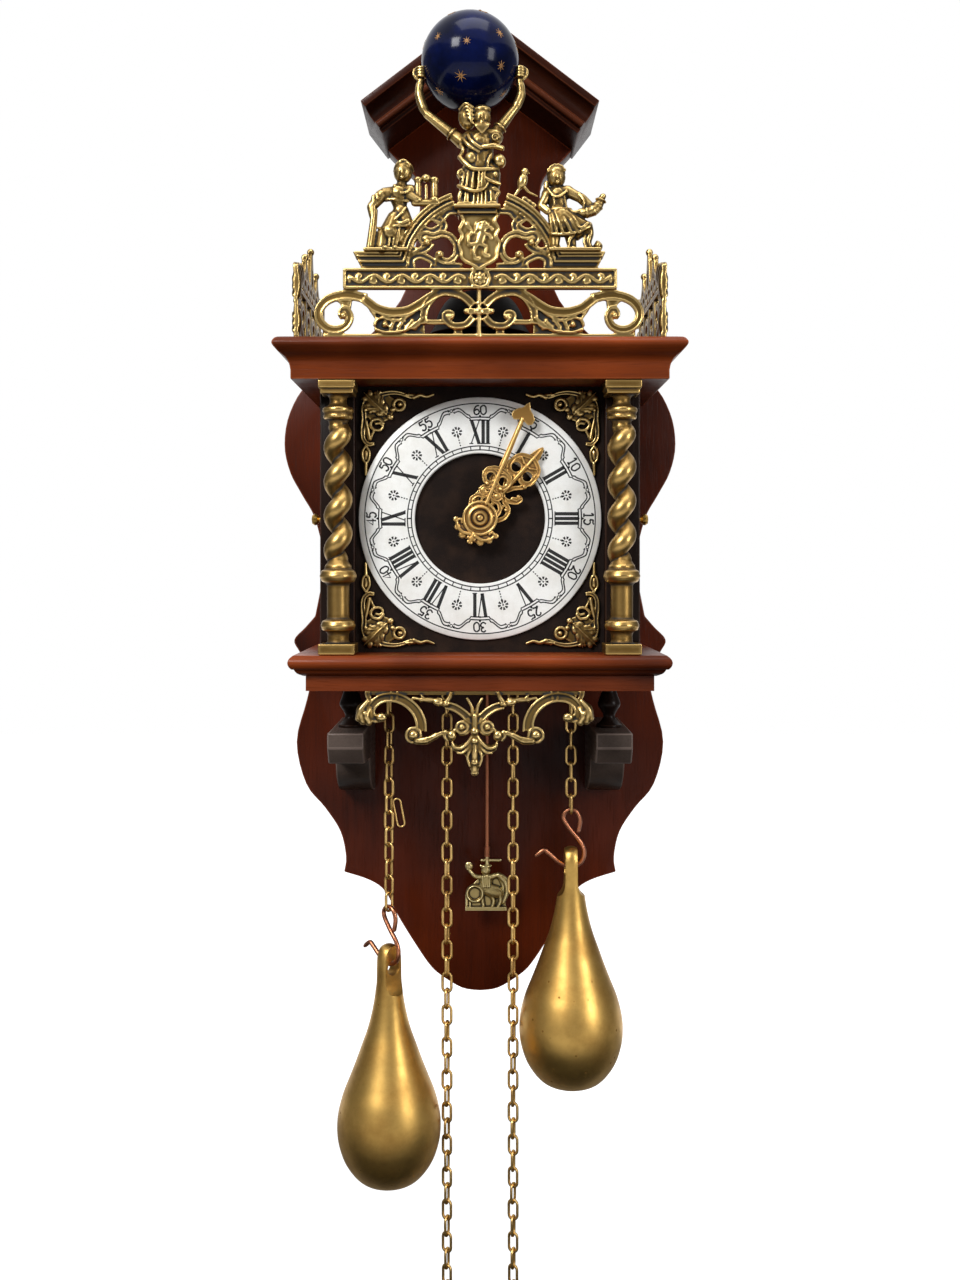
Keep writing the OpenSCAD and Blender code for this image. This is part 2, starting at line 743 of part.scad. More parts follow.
module right_figure() color(old_brass)
    translate([0, figure_y, 0])
        difference() {
            union() {
                limb([46.7, -145, -58], 6.2, [46.7, -145.5, -60.6], 5.6);
                limb([46.5, -144, -55], 5.6, [49, -142, -60], 5);
                limb([48, -144, -64], 3.2, [48, -144, -72], 5);
                limb([41, -144, -71.5], 4.2, [55, -144, -71.5], 4.4);
                limb([48, -144, -72], 7.6, [49, -144, -86], 6.6);
                limb([55, -145, -72], 3.8, [63.5, -146, -81], 3);
                limb([63.5, -146, -81], 3, [69, -147, -76], 2.8);
                limb([65, -147, -72], 3, [75, -147, -78], 4.4);
                limb([75, -147, -78], 4.4, [71, -147, -83], 3.6);
                limb([41, -145, -72], 3.6, [37.5, -146, -80], 2.8);
                limb([37.5, -146, -80], 2.8, [43, -148, -86], 2.6);
                limb([49, -144, -84], 8, [56, -145, -90], 9);
                limb([56, -145, -88], 8, [64, -145, -92], 6);
                limb([46, -146, -90], 5, [46, -147, -101.4], 3.2);
                limb([58, -146, -92], 5, [56, -147, -101.4], 3.2);
                limb([66, -144, -94], 4, [70, -144, -99], 4.4);
                limb([70, -144, -99], 4.4, [66, -144, -101.6], 3.2);
                translate([42, -152, -105])
                    cube([32, 16, 2.4]);
            }
            arch_round();
        }

/* Side frets */
module side_fret_2d() {
    square([130, 3]);
    translate([0, 30])
        square([130, 2.6]);
    for (x = [10, 34, 58, 82, 106, 122]) {
        band(whorl([x, 16], 10, 3.4, -90, 300, 16), 2.8, 2.2);
        band([[x + 12, 2], [x + 12, 31]], 2.4, 2.4);
        band([[x, 2], [x, 6]], 2.6, 2.6);
    }
    for (k = [0 : 4]) {
        x = 13 + 26 * k;
        h = 46 + (k == 2 ? 22 : k == 1 || k == 3 ? 12 : 0);
        band(whorl([x - 6, 39], 6.5, 2.2, 180, -170, 12), 2.8, 2);
        band(whorl([x + 6, 39], 6.5, 2.2, 0, 350, 12), 2.8, 2);
        band(spline([[x - 6, 45], [x - 2, h - 8], [x, h]], 4), 3, 2.4);
        band(spline([[x + 6, 45], [x + 2, h - 8], [x, h]], 4), 3, 2.4);
        ball2(x, h, 2.6);
        band([[x - 13, 31], [x - 12.5, 39]], 3, 2.8);
        band([[x + 13, 31], [x + 12.5, 39]], 3, 2.8);
    }
}

module side_fret(x) {
    translate([x - 1.25, -board_t - 2, -cornice_top])
        rotate([90, 0, -90])
            translate([0, 0, -2.5])
                linear_extrude(2.5)
                    offset(delta = 0.01)
                        translate([0, 0.01])
                            intersection() {
                                side_fret_2d();
                                translate([-2, -0.01])
                                    square([134, 90]);
                            }
}

module side_fret_left() color(old_brass)
    side_fret(side_fret_in - cornice_half);

module side_fret_right() color(old_brass)
    side_fret(cornice_half - side_fret_in);

/* Apron fret: drawn about its own middle line */
module apron_half() {
    leaf2(-65.7, -387, 11, 17, 0);
    band(spline([[-58, -389.6], [-61, -386.5], [-60, -382.6], [-52, -380.2], [-42, -382.6],
        [-35, -389], [-31.6, -399]], 5), 3.6, 4.6);
    ball2(-56.4, -389.6, 3.4);
    ball2(-37.2, -402, 4.8);
    band(spline([[-36, -404], [-28, -404.6], [-20, -400.6], [-16, -401]], 5), 3.6, 3);
    ball2(-15, -402.9, 3.4);
    band(spline([[-18, -382.4], [-12, -385.5], [-6, -390.4], [0, -394]], 5), 3, 3);
    band(whorl([-6.9, -397.2], 4.4, 4.4, 60, 330, 14), 1.8, 1.8);
    ball2(-6.9, -397.2, 3.7);
    band(spline([[-18, -381.8], [-26, -382.8], [-34, -380.4], [-44, -378]], 4), 3.4, 2);
    band([[-18, -383], [-16, -375.6]], 3, 3);
    band([[-64, -380], [-63, -375.6]], 4, 5);
    band([[-50, -380.2], [-50, -375.6]], 4, 5);
    band([[0, -389], [-3.4, -379.6]], 2, 2);
    band(spline([[0, -403], [-3.5, -407], [-7.5, -411.6], [-13, -411]], 4), 3.6, 2);
    band(spline([[-15, -403], [-10, -402], [-4, -401]], 4), 2, 2);
}

module apron_fret() color(old_brass)
    intersection() {
        fret(137, 3)
            translate([apron_axis, 0]) {
                apron_half();
                mirror([1, 0])
                    apron_half();
                band([[0, -385], [0, -420]], 3.4, 4.4);
                leaf2(0, -412, 8, 22, 0);
                ball2(0, -425, 2.8);
                band([[-66, -376], [66, -376]], 2.6, 2.6);
            }
        box(-100, 100, 130, 150, -440, -base_low);
    }

/* Dial */
module dial_plate() color([0.10, 0.08, 0.07])
    difference() {
        box(-dial_half, dial_half, dial_d, dial_d + dial_t, -base_top, -cornice_low);
        bar_y(0, dial_z, dial_d - 1, dial_d + dial_t + 1, 5);
    }

module chapter_ring() color([0.86, 0.86, 0.83])
    difference() {
        bar_y(0, dial_z, dial_d + dial_t, dial_d + dial_t + ring_t, ring_r);
        bar_y(0, dial_z, dial_d + dial_t - 1, dial_d + dial_t + ring_t + 1, ring_in);
    }

module spandrel2() {
    band(spline([[-72, 79.5], [-60, 80], [-50, 78], [-40, 80], [-30, 79]], 4), 4, 1.8);
    band(spline([[-74.5, 78], [-75.5, 66], [-73, 54], [-75.5, 44], [-75, 34]], 4), 4, 1.8);
    band(whorl([-67, 62], 4.6, 2.4, 90, 420, 14), 2.2, 2);
    band(whorl([-55, 73], 4.6, 2.4, 0, -330, 14), 2.2, 2);
    leaf2(-67, 73, 19, 13, -45);
    ball2(-61.5, 66.5, 3);
    leaf2(-72.6, 52, 16, 5, 96);
}

module corner_spandrels() color(old_brass)
    difference() {
        for (sx = [0, 1], sz = [0, 1])
            translate([0, 0, dial_z])
                mirror([sx, 0, 0])
                    mirror([0, 0, sz])
                        fret(dial_d + dial_t, 2.4)
                            spandrel2();
        bar_y(0, dial_z, dial_d, dial_d + 10, ring_r + 0.3);
    }

/* Hands, drawn pointing up and then turned to their time */
module hour2() {
    circle(r = 8.4);
    band([[-7.2, 4], [-8.6, 11], [-4, 17], [0, 20]], 2.6, 2.6);
    band([[7.2, 4], [8.6, 11], [4, 17], [0, 20]], 2.6, 2.6);
    band([[0, 6], [0, 38]], 2.6, 2.6);
    band(whorl([-5.2, 36], 4.8, 4.8, 0, 360, 18), 2.4, 2.4);
    band(whorl([5.2, 36], 4.8, 4.8, 0, 360, 18), 2.4, 2.4);
    band([[-8, 30], [0, 26], [8, 30]], 2.4, 2.4);
    leaf2(0, 43, 14, 7, 0);
    band([[0, 44], [0, 59.2]], 5, 1.6);
    band(whorl([-6.2, 19.5], 2.6, 2.6, 0, 360, 12), 1.8, 1.8);
    band(whorl([6.2, 19.5], 2.6, 2.6, 0, 360, 12), 1.8, 1.8);
}

module minute2() {
    circle(r = 8.8);
    band([[-7.6, 4], [-9, 12], [-5, 17], [0, 20]], 2.6, 2.6);
    band([[7.6, 4], [9, 12], [5, 17], [0, 20]], 2.6, 2.6);
    band([[0, 8], [0, 36]], 2.8, 2.8);
    band(whorl([-5.4, 31], 4.6, 4.6, 0, 360, 18), 2.4, 2.4);
    band(whorl([5.4, 31], 4.6, 4.6, 0, 360, 18), 2.4, 2.4);
    leaf2(-6, 19.5, 9, 4, 40);
    leaf2(6, 19.5, 9, 4, -40);
    band([[0, 36], [0, 72]], 2.6, 2.2);
    polygon([[0, 79], [-3, 71], [-7, 66], [-2.4, 67.5], [0, 64], [2.4, 67.5], [7, 66], [3, 71]]);
    leaf2(0, -11.4, 18, 7, 0);
    ball2(-8.4, -11.5, 3);
    ball2(8.4, -11.5, 3);
    ball2(-4.4, -15, 2.8);
    ball2(4.4, -15, 2.8);
}

module hand(d, t, turn, hole) {
    translate([0, 0, dial_z])
        rotate([0, turn, 0])
            difference() {
                fret(d, t)
                    children();
                bar_y(0, 0, d - 1, d + t + 1, hole);
            }
}

module hour_hand() color(gilt)
    hand(120.6, 1.8, hour_at, 3.6)
        hour2();

module minute_hand() color(gilt)
    hand(124, 1.8, minute_at, arbor_r)
        minute2();

// nut of the minute hand on its hollow pipe, which runs back over the centre arbor to its pinion
module hand_nut() color(gilt)
    difference() {
        union() {
            translate([0, -125.8, dial_z])
                rotate([90, 0, 0])
                    rotate_extrude()
                        polygon([[0, 0], [7.5, 0], [7.5, 0.8], [6.2, 1.4], [5.2, 0.9], [4.4, 1.1], [4, 2.4],
                            [3.2, 2.9], [0, 2.9]]);
            bar_y(0, dial_z, front_plate_d + 0.8, 126.4, arbor_r);
            translate([0, 0, dial_z])
                slab(front_plate_d + 0.8, 2.4)
                    gear2(12, 0.75, tooth_leaf, -90 + 15);
        }
        bar_y(0, dial_z, front_plate_d, 127.4, core_r + arbor_gap);
    }

/* Movement */
arbor_holes = [[-train_x, train_z, great_arbor_r], [train_x, train_z, great_arbor_r],
    [0, dial_z, arbor_r], [third_x, third_z, small_arbor_r], [escape_x, escape_z, 1],
    [pendulum_x, pivot_z, small_arbor_r], [pin_x, pin_z, small_arbor_r],
    [hammer_x, hammer_z, small_arbor_r]];

module plate_shape(d) {
    difference() {
        box(-76, 76, d, d + plate_t, -base_top, -196);
        for (h = arbor_holes)
            bar_y(h[0], h[1], d - 1, d + plate_t + 1, h[2] + arbor_gap);
        for (x = [-71, 71], z = [-346, -204])
            bar_y(x, z, d - 1, d + plate_t + 1, 2);
    }
}

module front_plate() color(old_brass) {
    plate_shape(front_plate_d - plate_t);
    bar_y(0, minute_z, front_plate_d - 0.5, front_plate_d + 7, small_arbor_r);
}

module rear_plate() color(old_brass)
    plate_shape(rear_plate_d);

module plate_pillars() color(old_brass)
    for (x = [-71, 71], z = [-346, -204]) {
        bar_y(x, z, rear_plate_d, front_plate_d, 2);
        bar_y(x, z, rear_plate_d + plate_t, front_plate_d - plate_t, 4);
        bar_y(x, z, 77, 83, 5);
    }

module great_wheel(x, d, turn) {
    translate([x, 0, train_z]) {
        slab(d, 3)
            wheel2(great_n, great_m, turn, 8, 8, 8);
        bar_y(0, 0, rear_plate_d, front_plate_d, great_arbor_r);
    }
}

module going_great_wheel() color(old_brass)
    great_wheel(-train_x, going_wheel_d, great_to_centre);

module strike_great_wheel() color(old_brass)
    great_wheel(train_x, strike_wheel_d, pin_dir);

// chain wheel: two cheeks, a core and a ring of spikes
module sprocket(x) {
    translate([x, 0, train_z])
        difference() {
            union() {
                bar_y(0, 0, 74, 86, 8);
                bar_y(0, 0, 76, 84, 11.5);
                bar_y(0, 0, 74, 75.6, 24);
                bar_y(0, 0, 84.4, 86, 24);
                for (a = [0 : 30 : 330])
                    rotate([0, a, 0])
                        box(-1.2, 1.2, 78.8, 81.2, 10, 15);
            }
            bar_y(0, 0, 70, 90, great_arbor_r + arbor_gap);
        }
}

module going_sprocket() color(steel)
    sprocket(-train_x);

module strike_sprocket() color(steel)
    sprocket(train_x);

module centre_wheel() color(old_brass)
    translate([0, 0, dial_z]) {
        bar_y(0, 0, rear_plate_d, front_plate_d + 0.2, arbor_r);
        bar_y(0, 0, front_plate_d, 127, core_r);
        slab(86.5, 7)
            gear2(centre_leaves, great_m, tooth_leaf, great_to_centre + 180 + 180 / centre_leaves);
        slab(95.5, 2)
            wheel2(72, centre_wheel_m, third_dir, 4, 5, 4);
    }

module third_wheel() color(old_brass)
    translate([third_x, 0, third_z]) {
        bar_y(0, 0, rear_plate_d, front_plate_d, small_arbor_r);
        slab(94.5, 4)
            gear2(third_leaves, centre_wheel_m, tooth_leaf, third_dir + 180 + 180 / third_leaves);
        slab(79.5, 1.8)
            wheel2(third_n, third_wheel_m, escape_dir, 4, 4, 3.4);
    }

module escape_wheel() color(old_brass)
    translate([escape_x, 0, escape_z]) {
        bar_y(0, 0, rear_plate_d, front_plate_d, 1);
        slab(78, 5)
            gear2(escape_leaves, third_wheel_m, tooth_leaf, escape_dir + 180 + 180 / escape_leaves);
        slab(68.5, 1.8) {
            polygon([for (i = [0 : 29], q = [[escape_r - 3, 0], [escape_r, 5], [escape_r, 6.4],
                [escape_r - 3, 8.5]]) q[0] * [cos(12 * i + q[1]), sin(12 * i + q[1])]]);
            circle(r = 4);
        }
    }

module pallet_anchor() color(steel)
    translate([pendulum_x, 0, pivot_z]) {
        bar_y(0, 0, 46, front_plate_d, small_arbor_r);
        slab(68, 2.8)
            offset(delta = 0.01) {
                circle(r = 4);
                band([[0, 0], [-9, -1.5], [-14.5, -6], [-15.6, -14]], 4, 2);
                band([[0, 0], [9, -1.5], [14.5, -6], [15.6, -14]], 4, 2);
            }
        slab(46, 2)
            offset(delta = 0.01) {
                circle(r = 4);
                band([[0, 0], [0, -38]], 4, 4);
                band([[-4, -40], [4, -40]], 4, 4);
            }
        for (s = [-1, 1])
            bar_y(s * 3.4, -40, 32, 47, 1.2);
    }

module minute_wheel() color(old_brass)
    translate([0, 0, minute_z])
        difference() {
            union() {
                slab(105, 2)
                    gear2(36, 0.75, tooth_wheel, 90);
                slab(105, 5.6)
                    gear2(10, 0.72, tooth_leaf, 90 + 18);
            }
            bar_y(0, 0, 100, 115, small_arbor_r + arbor_gap);
        }

module hour_wheel() color(old_brass)
    translate([0, 0, dial_z])
        difference() {
            union() {
                slab(108.4, 2)
                    gear2(40, 0.72, tooth_wheel, -90);
                bar_y(0, 0, 108.4, 122.4, 3.6);
            }
            bar_y(0, 0, 105, 125, arbor_r + arbor_gap);
        }

module pin_wheel() color(old_brass)
    translate([pin_x, 0, pin_z]) {
        bar_y(0, 0, rear_plate_d, front_plate_d, small_arbor_r);
        slab(67.6, 5)
            gear2(pin_leaves, great_m, tooth_leaf, pin_dir + 180 + 180 / pin_leaves);
        slab(62.6, 1.8)
            difference() {
                circle(r = 22);
                for (a = [0 : 90 : 270])
                    rotate(a + 45)
                        translate([9.5, 0])
                            circle(r = 4);
            }
        for (a = [0 : 45 : 315])
            bar_y(18 * cos(a), 18 * sin(a), 64, 67, 1.2);
    }

module hammer() color(steel) {
    bar_y(hammer_x, hammer_z, rear_plate_d, front_plate_d, small_arbor_r);
    slab(64.8, 2.2)
        offset(delta = 0.01) {
            translate([hammer_x, hammer_z])
                circle(r = 4);
            band([[hammer_x, hammer_z], [56, -190], [52.5, -156], [50, -136]], 5, 3.4);
            band([[hammer_x, hammer_z], [hammer_x - 3, hammer_z - 6]], 4, 2.4);
        }
    translate([36.4, -65.9, -134])
        rotate([0, 90, 0])
            cylinder(r = 5, h = 14);
}

/* Bell */
module bell() color([0.12, 0.11, 0.10])
    translate([0, -bell_d, -142])
        rotate_extrude()
            difference() {
                polygon(concat([[0, 30]], spline([[0, 30], [12, 29], [22, 24], [28, 15], [31, 6],
                    [bell_r, 0]], 5), spline([[bell_r - 2.6, 0], [28.4, 6], [25.4, 15], [20, 22.4],
                    [11, 27], [0, 27.8]], 5)));
                translate([0, 20])
                    square([3, 20]);
            }

module bell_post() color(steel)
    translate([0, -bell_d, -cornice_top]) {
        cylinder(r = 3, h = 50.5);
        cylinder(r = 9, h = 3);
        cylinder(r = 5.5, h = 43.7);
        translate([0, 0, 46])
            cylinder(r = 5, h = 4.5, $fn = 6);
    }

/* Pendulum */
module pendulum_cock() color(old_brass) {
    box(pendulum_x - 6, pendulum_x + 6, 27, rear_plate_d, -195.5, -188);
    box(pendulum_x - 6, pendulum_x + 6, 27, 30, -210, -190);
    bar_y(pendulum_x, pivot_z, 29, 40, 2);
    bar_y(pendulum_x, pivot_z, 38.6, 40, 3.6);
}

module pendulum_rod() color(steel)
    difference() {
        union() {
            bar_y(pendulum_x, pivot_z, pendulum_d - 2.5, pendulum_d + 2.5, 5.4);
            translate([pendulum_x, -pendulum_d, -503])
                cylinder(r = 1.5, h = 503 - pivot_low);
        }
        bar_y(pendulum_x, pivot_z, 20, 50, 2 + arbor_gap);
    }

// rider on a stepping horse in pierced work
module rider2() {
    translate([pendulum_x, -503]) {
        band([[-4, -0.5], [9, -0.5]], 1.8, 1.8);
        band([[0, 2], [0, -5]], 3, 3);
        ball2(-1, -8, 4.2);
        leaf2(-1, -15, 9, 9, 0);
        band([[-4, -13], [-10, -11], [-14, -5]], 3.4, 2.6);
        band([[3, -13], [9, -11], [14, -14]], 4.4, 3);
        leaf2(-12.6, -5, 6, 7, 0);
        band(whorl([-8.6, -24], 6, 6, 0, 360, 20), 2.4, 2.4);
        leaf2(5, -22, 17, 10, -20);
        band([[11, -16], [14.4, -24], [12, -31]], 4, 2.4);
        band([[-2, -20], [-3, -31]], 3.4, 2.4);
        band([[3, -25], [4, -34]], 3, 2.4);
        band([[9, -26], [7, -34]], 3, 2.4);
        band([[-14.6, -34.4], [13, -34.4]], 2.4, 2.4);
        band([[-14.4, -25], [-14.4, -34]], 2.2, 2.2);
    }
}

module pendulum_rider() color(old_brass)
    difference() {
        fret(pendulum_d - 2, 4)
            rider2();
        translate([pendulum_x, -pendulum_d, -503])
            cylinder(r = 1.5, h = 20);
    }

/* Chains */
module link() {
    r = (link_w - link_wire) / 2;
    straight = link_pitch + link_slack + link_wire - 2 * r;
    for (s = [-1, 1])
        translate([s * r, 0, -straight / 2])
            cylinder(d = link_wire, h = straight, $fn = 24);
    for (s = [0, 1])
        mirror([0, 0, s])
            translate([0, 0, straight / 2])
                rotate([90, 0, 0])
                    rotate_extrude(angle = 180, $fn = 24)
                        translate([r, 0])
                            circle(d = link_wire, $fn = 24);
}

module strand(x, count, turn = 0) {
    for (i = [0 : count - 1])
        translate([x, -chain_d, -strand_top - link_pitch * (i + 0.5)])
            rotate([0, 0, (i % 2 == 0 ? 90 : 0) - turn * (i + 1) / count])
                link();
}

// lowest inner wire of a strand of so many links, where its hook or ring hangs
function strand_low(count) = -strand_top - link_pitch * (count - 0.5) - (link_pitch + link_slack) / 2;

// ring that a free strand is pulled by
module pull_ring(x) {
    translate([x, -chain_d, strand_low(free_links) + pull_wire / 2 + hang_gap - pull_r])
        rotate([90, 0, 0])
            rotate_extrude()
                translate([pull_r, 0])
                    circle(d = pull_wire, $fn = 24);
}

module going_weight_chain() color(gilt)
    strand(-train_x - chain_r, going_links, left_turn);

module strike_weight_chain() color(gilt)
    strand(train_x + chain_r, strike_links);

module going_free_chain() color(gilt) {
    strand(-train_x + chain_r, free_links);
    pull_ring(-train_x + chain_r);
}

module strike_free_chain() color(gilt) {
    strand(train_x - chain_r, free_links);
    pull_ring(train_x - chain_r);
}

module stop_ring() color(gilt)
    translate([-53.6, -chain_d, -461.5]) {
        for (s = [-1, 1])
            translate([s * 2.4, 0, -7])
                cylinder(r = 0.65, h = 14, $fn = 24);
        for (s = [0, 1])
            mirror([0, 0, s])
                translate([0, 0, 7])
                    rotate([90, 0, 0])
                        rotate_extrude(angle = 180, $fn = 24)
                            translate([2.4, 0])
                                circle(r = 0.65, $fn = 24);
    }

/* Hooks and weights */
hook_path = spline([[4.9, -14.4], [6, -7.4], [4, -2], [0, 0], [-4, -2], [-4.7, -6.6], [0.4, -14.4],
    [6.6, -22], [8.8, -28.8], [6.6, -35.2], [0, -38], [-7.4, -35.2], [-14.8, -29.2],
    [-18.2, -27.1], [-23.2, -30.6]], 2);
hook_low = 36.2;

function hook_z(count) = strand_low(count) + hook_wire / 2 + hang_gap;
function weight_low(count) = hook_z(count) - hook_low + hook_wire / 2 - eye_r - eye_up;

// places what hangs on the strand at x, turned about it
module hung(x, turn) {
    translate([x, -chain_d, 0])
        rotate([0, 0, -turn])
            children();
}

// bent hook whose upper loop hangs in the lowest link
module hook(count) {
    translate([0, 0, hook_z(count)])
        wire(hook_path, hook_wire / 2);
}

module going_hook() color([0.66, 0.42, 0.30])
    hung(-train_x - chain_r, left_turn)
        hook(going_links);

module strike_hook() color([0.66, 0.42, 0.30])
    hung(train_x + chain_r, 0)
        hook(strike_links);

// half outline of a pear-shaped weight, upwards from its foot
pear = [[8, 0], [20, 5.2], [28.8, 16], [33.2, 28], [34.4, 38.6], [33.5, 48.8], [30.6, 60], [26.4, 70.6],
    [22.3, 81], [18.3, 92], [14.5, 102.5], [11.7, 113], [9.2, 124], [7.6, 132], [5.4, 141]];

// weight with a flat eye above it
module weight(low) {
    translate([0, 0, low])
        difference() {
            union() {
                rotate_extrude()
                    polygon(concat([[0, 0]], spline([for (q = pear) [q[0] * weight_r / 34.4, q[1]]], 3),
                        [[0, 141]]));
                translate([-eye_t / 2, 0, eye_top - 8.5])
                    rotate([0, 90, 0])
                        cylinder(r = 8.5, h = eye_t);
                translate([-eye_t / 2, -8.5, 121])
                    cube([eye_t, 17, eye_top - 8.5 - 121]);
            }
            translate([-20, 0, eye_up])
                rotate([0, 90, 0])
                    cylinder(r = eye_r, h = 40);
        }
}

module going_weight() color(gilt)
    hung(-train_x - chain_r, left_turn)
        weight(weight_low(going_links));

module strike_weight() color(gilt)
    hung(train_x + chain_r, 0)
        weight(weight_low(strike_links));

back_board();
gable_mouldings();
cornice();
base_board();
case_posts();
brackets();
bracket_balusters();
hanger_plate();
side_door_left();
side_door_right();
door_glass_left();
door_glass_right();
door_knob_left();
door_knob_right();
door_pivot_pins();
column_left();
column_right();
crest_fret();
atlas_figure();
left_figure();
right_figure();
celestial_globe();
side_fret_left();
side_fret_right();
apron_fret();
dial_plate();
chapter_ring();
corner_spandrels();
hour_hand();
minute_hand();
hand_nut();
front_plate();
rear_plate();
plate_pillars();
going_great_wheel();
going_sprocket();
centre_wheel();
third_wheel();
escape_wheel();
pallet_anchor();
minute_wheel();
hour_wheel();
strike_great_wheel();
strike_sprocket();
pin_wheel();
hammer();
bell();
bell_post();
pendulum_cock();
pendulum_rod();
pendulum_rider();
going_weight_chain();
going_free_chain();
strike_weight_chain();
strike_free_chain();
stop_ring();
going_hook();
strike_hook();
going_weight();
strike_weight();
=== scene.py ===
"""Weight-driven wall clock: a gabled back board, a bracket case with twisted columns, a cast brass crest,
two pear weights on chains and a small pierced pendulum bob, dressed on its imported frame.

Lengths in the shape code are millimetres: x to the right, z up and d out of the wall, so a point lies at
(x, -d, z) / 1000 in the shared frame.
"""
import math

import bmesh
import bpy
import numpy as np
from mathutils import Matrix, Vector, geometry


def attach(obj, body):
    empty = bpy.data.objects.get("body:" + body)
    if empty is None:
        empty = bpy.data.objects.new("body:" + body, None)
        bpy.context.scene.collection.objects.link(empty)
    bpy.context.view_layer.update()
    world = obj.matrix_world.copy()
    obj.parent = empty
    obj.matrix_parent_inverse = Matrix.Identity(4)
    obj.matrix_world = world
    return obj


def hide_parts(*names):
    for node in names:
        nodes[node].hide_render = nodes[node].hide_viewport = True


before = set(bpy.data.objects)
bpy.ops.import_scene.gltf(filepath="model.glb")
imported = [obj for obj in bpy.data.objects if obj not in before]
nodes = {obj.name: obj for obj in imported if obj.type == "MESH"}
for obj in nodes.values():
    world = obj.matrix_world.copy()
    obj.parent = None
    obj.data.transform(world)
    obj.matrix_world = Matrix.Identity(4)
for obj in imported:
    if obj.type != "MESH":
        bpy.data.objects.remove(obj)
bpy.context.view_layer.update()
scene = bpy.context.scene
MM = 0.001
QUARTER = math.pi / 2
DIAL_Z = -267.3  # height of the dial centre


# ---- colours and node helpers
def tone(r, g, b):
    """A display colour, 0 to 255, as the linear colour a socket takes."""
    def lin(c):
        c /= 255
        return c / 12.92 if c <= 0.04045 else ((c + 0.055) / 1.055) ** 2.4
    return (lin(r), lin(g), lin(b), 1.0)


def feed(tree, node, feeds):
    """Links or fills a node's inputs."""
    for key, value in feeds.items():
        socket = node.inputs[key]
        if isinstance(value, bpy.types.NodeSocket):
            tree.links.new(value, socket)
        else:
            socket.default_value = value


def put(tree, kind, feeds=None, **facts):
    """A node with its properties set and its inputs linked or filled."""
    node = tree.nodes.new(kind)
    for key, value in facts.items():
        setattr(node, key, value)
    feed(tree, node, feeds or {})
    return node


def sums(tree, kind, a, b=0.0, c=0.0):
    return put(tree, "ShaderNodeMath", {0: a, 1: b, 2: c}, operation=kind).outputs[0]


def times(tree, a, b):
    return sums(tree, "MULTIPLY", a, b)


def plus(tree, a, b):
    return sums(tree, "ADD", a, b)


def less(tree, a, b):
    return sums(tree, "SUBTRACT", a, b)


def mixed(tree, share, a, b, way="MIX"):
    return put(tree, "ShaderNodeMix", {0: share, 6: a, 7: b}, data_type="RGBA", blend_type=way).outputs[2]


def span(tree, value, low, high, to_low=0.0, to_high=1.0):
    return put(tree, "ShaderNodeMapRange", {"Value": value, "From Min": low, "From Max": high,
                                            "To Min": to_low, "To Max": to_high}).outputs[0]


def cloud(tree, vector, scale, detail=3.0, rough=0.55):
    return put(tree, "ShaderNodeTexNoise", {"Vector": vector, "Scale": scale, "Detail": detail,
                                            "Roughness": rough}).outputs["Fac"]


def stretched(tree, vector, scale, turn=(0, 0, 0), shift=(0, 0, 0)):
    return put(tree, "ShaderNodeMapping", {"Vector": vector, "Scale": scale, "Rotation": turn,
                                           "Location": shift}).outputs[0]


KINDS = {"c": "NodeSocketColor", "f": "NodeSocketFloat", "v": "NodeSocketVector"}


def effect(name, takes, gives):
    """An empty shader node group with named inputs and outputs."""
    tree = bpy.data.node_groups.new(name, "ShaderNodeTree")
    for label, kind in takes:
        tree.interface.new_socket(label, in_out="INPUT", socket_type=KINDS[kind])
    for label, kind in gives:
        tree.interface.new_socket(label, in_out="OUTPUT", socket_type=KINDS[kind])
    return tree, tree.nodes.new("NodeGroupInput").outputs, tree.nodes.new("NodeGroupOutput").inputs


def wood_figure():
    """Streaked grain along the vector's Z, with pores and broad bands of darker wood."""
    tree, take, give = effect("wood_figure", [("Vector", "v"), ("Pale", "c"), ("Deep", "c"), ("Worn", "c"),
            ("Edge", "f")], [("Colour", "c"), ("Roughness", "f"), ("Height", "f")])
    bend = cloud(tree, stretched(tree, take["Vector"], (9, 9, 2.2)), 1.0, 2.0)
    warped = put(tree, "ShaderNodeVectorMath", {0: take["Vector"], 1: put(tree, "ShaderNodeCombineXYZ", {
        "X": times(tree, bend, 0.02), "Y": times(tree, bend, 0.013)}).outputs[0]},
        operation="ADD").outputs[0]
    bands = cloud(tree, stretched(tree, warped, (75, 75, 3.0)), 1.0, 4.0, 0.6)
    streaks = cloud(tree, stretched(tree, warped, (420, 420, 12)), 1.0, 3.0, 0.6)
    pores = cloud(tree, stretched(tree, warped, (1500, 1500, 60)), 1.0, 1.0, 0.4)
    patches = cloud(tree, take["Vector"], 11.0, 2.0)
    share = plus(tree, times(tree, bands, 0.7), times(tree, streaks, 0.3))
    share = span(tree, plus(tree, times(tree, share, 0.45), patches), 0.46, 0.98)
    colour = mixed(tree, share, take["Pale"], take["Deep"])
    pore = span(tree, pores, 0.56, 0.68)
    colour = mixed(tree, times(tree, pore, 0.18), colour, tone(26, 9, 5))
    rubbed = mixed(tree, times(tree, take["Edge"], 0.55), colour, take["Worn"])
    tree.links.new(rubbed, give["Colour"])
    tree.links.new(span(tree, plus(tree, pore, patches), 0.2, 1.6, 0.26, 0.5), give["Roughness"])
    tree.links.new(less(tree, times(tree, streaks, 0.4), pore), give["Height"])
    return tree


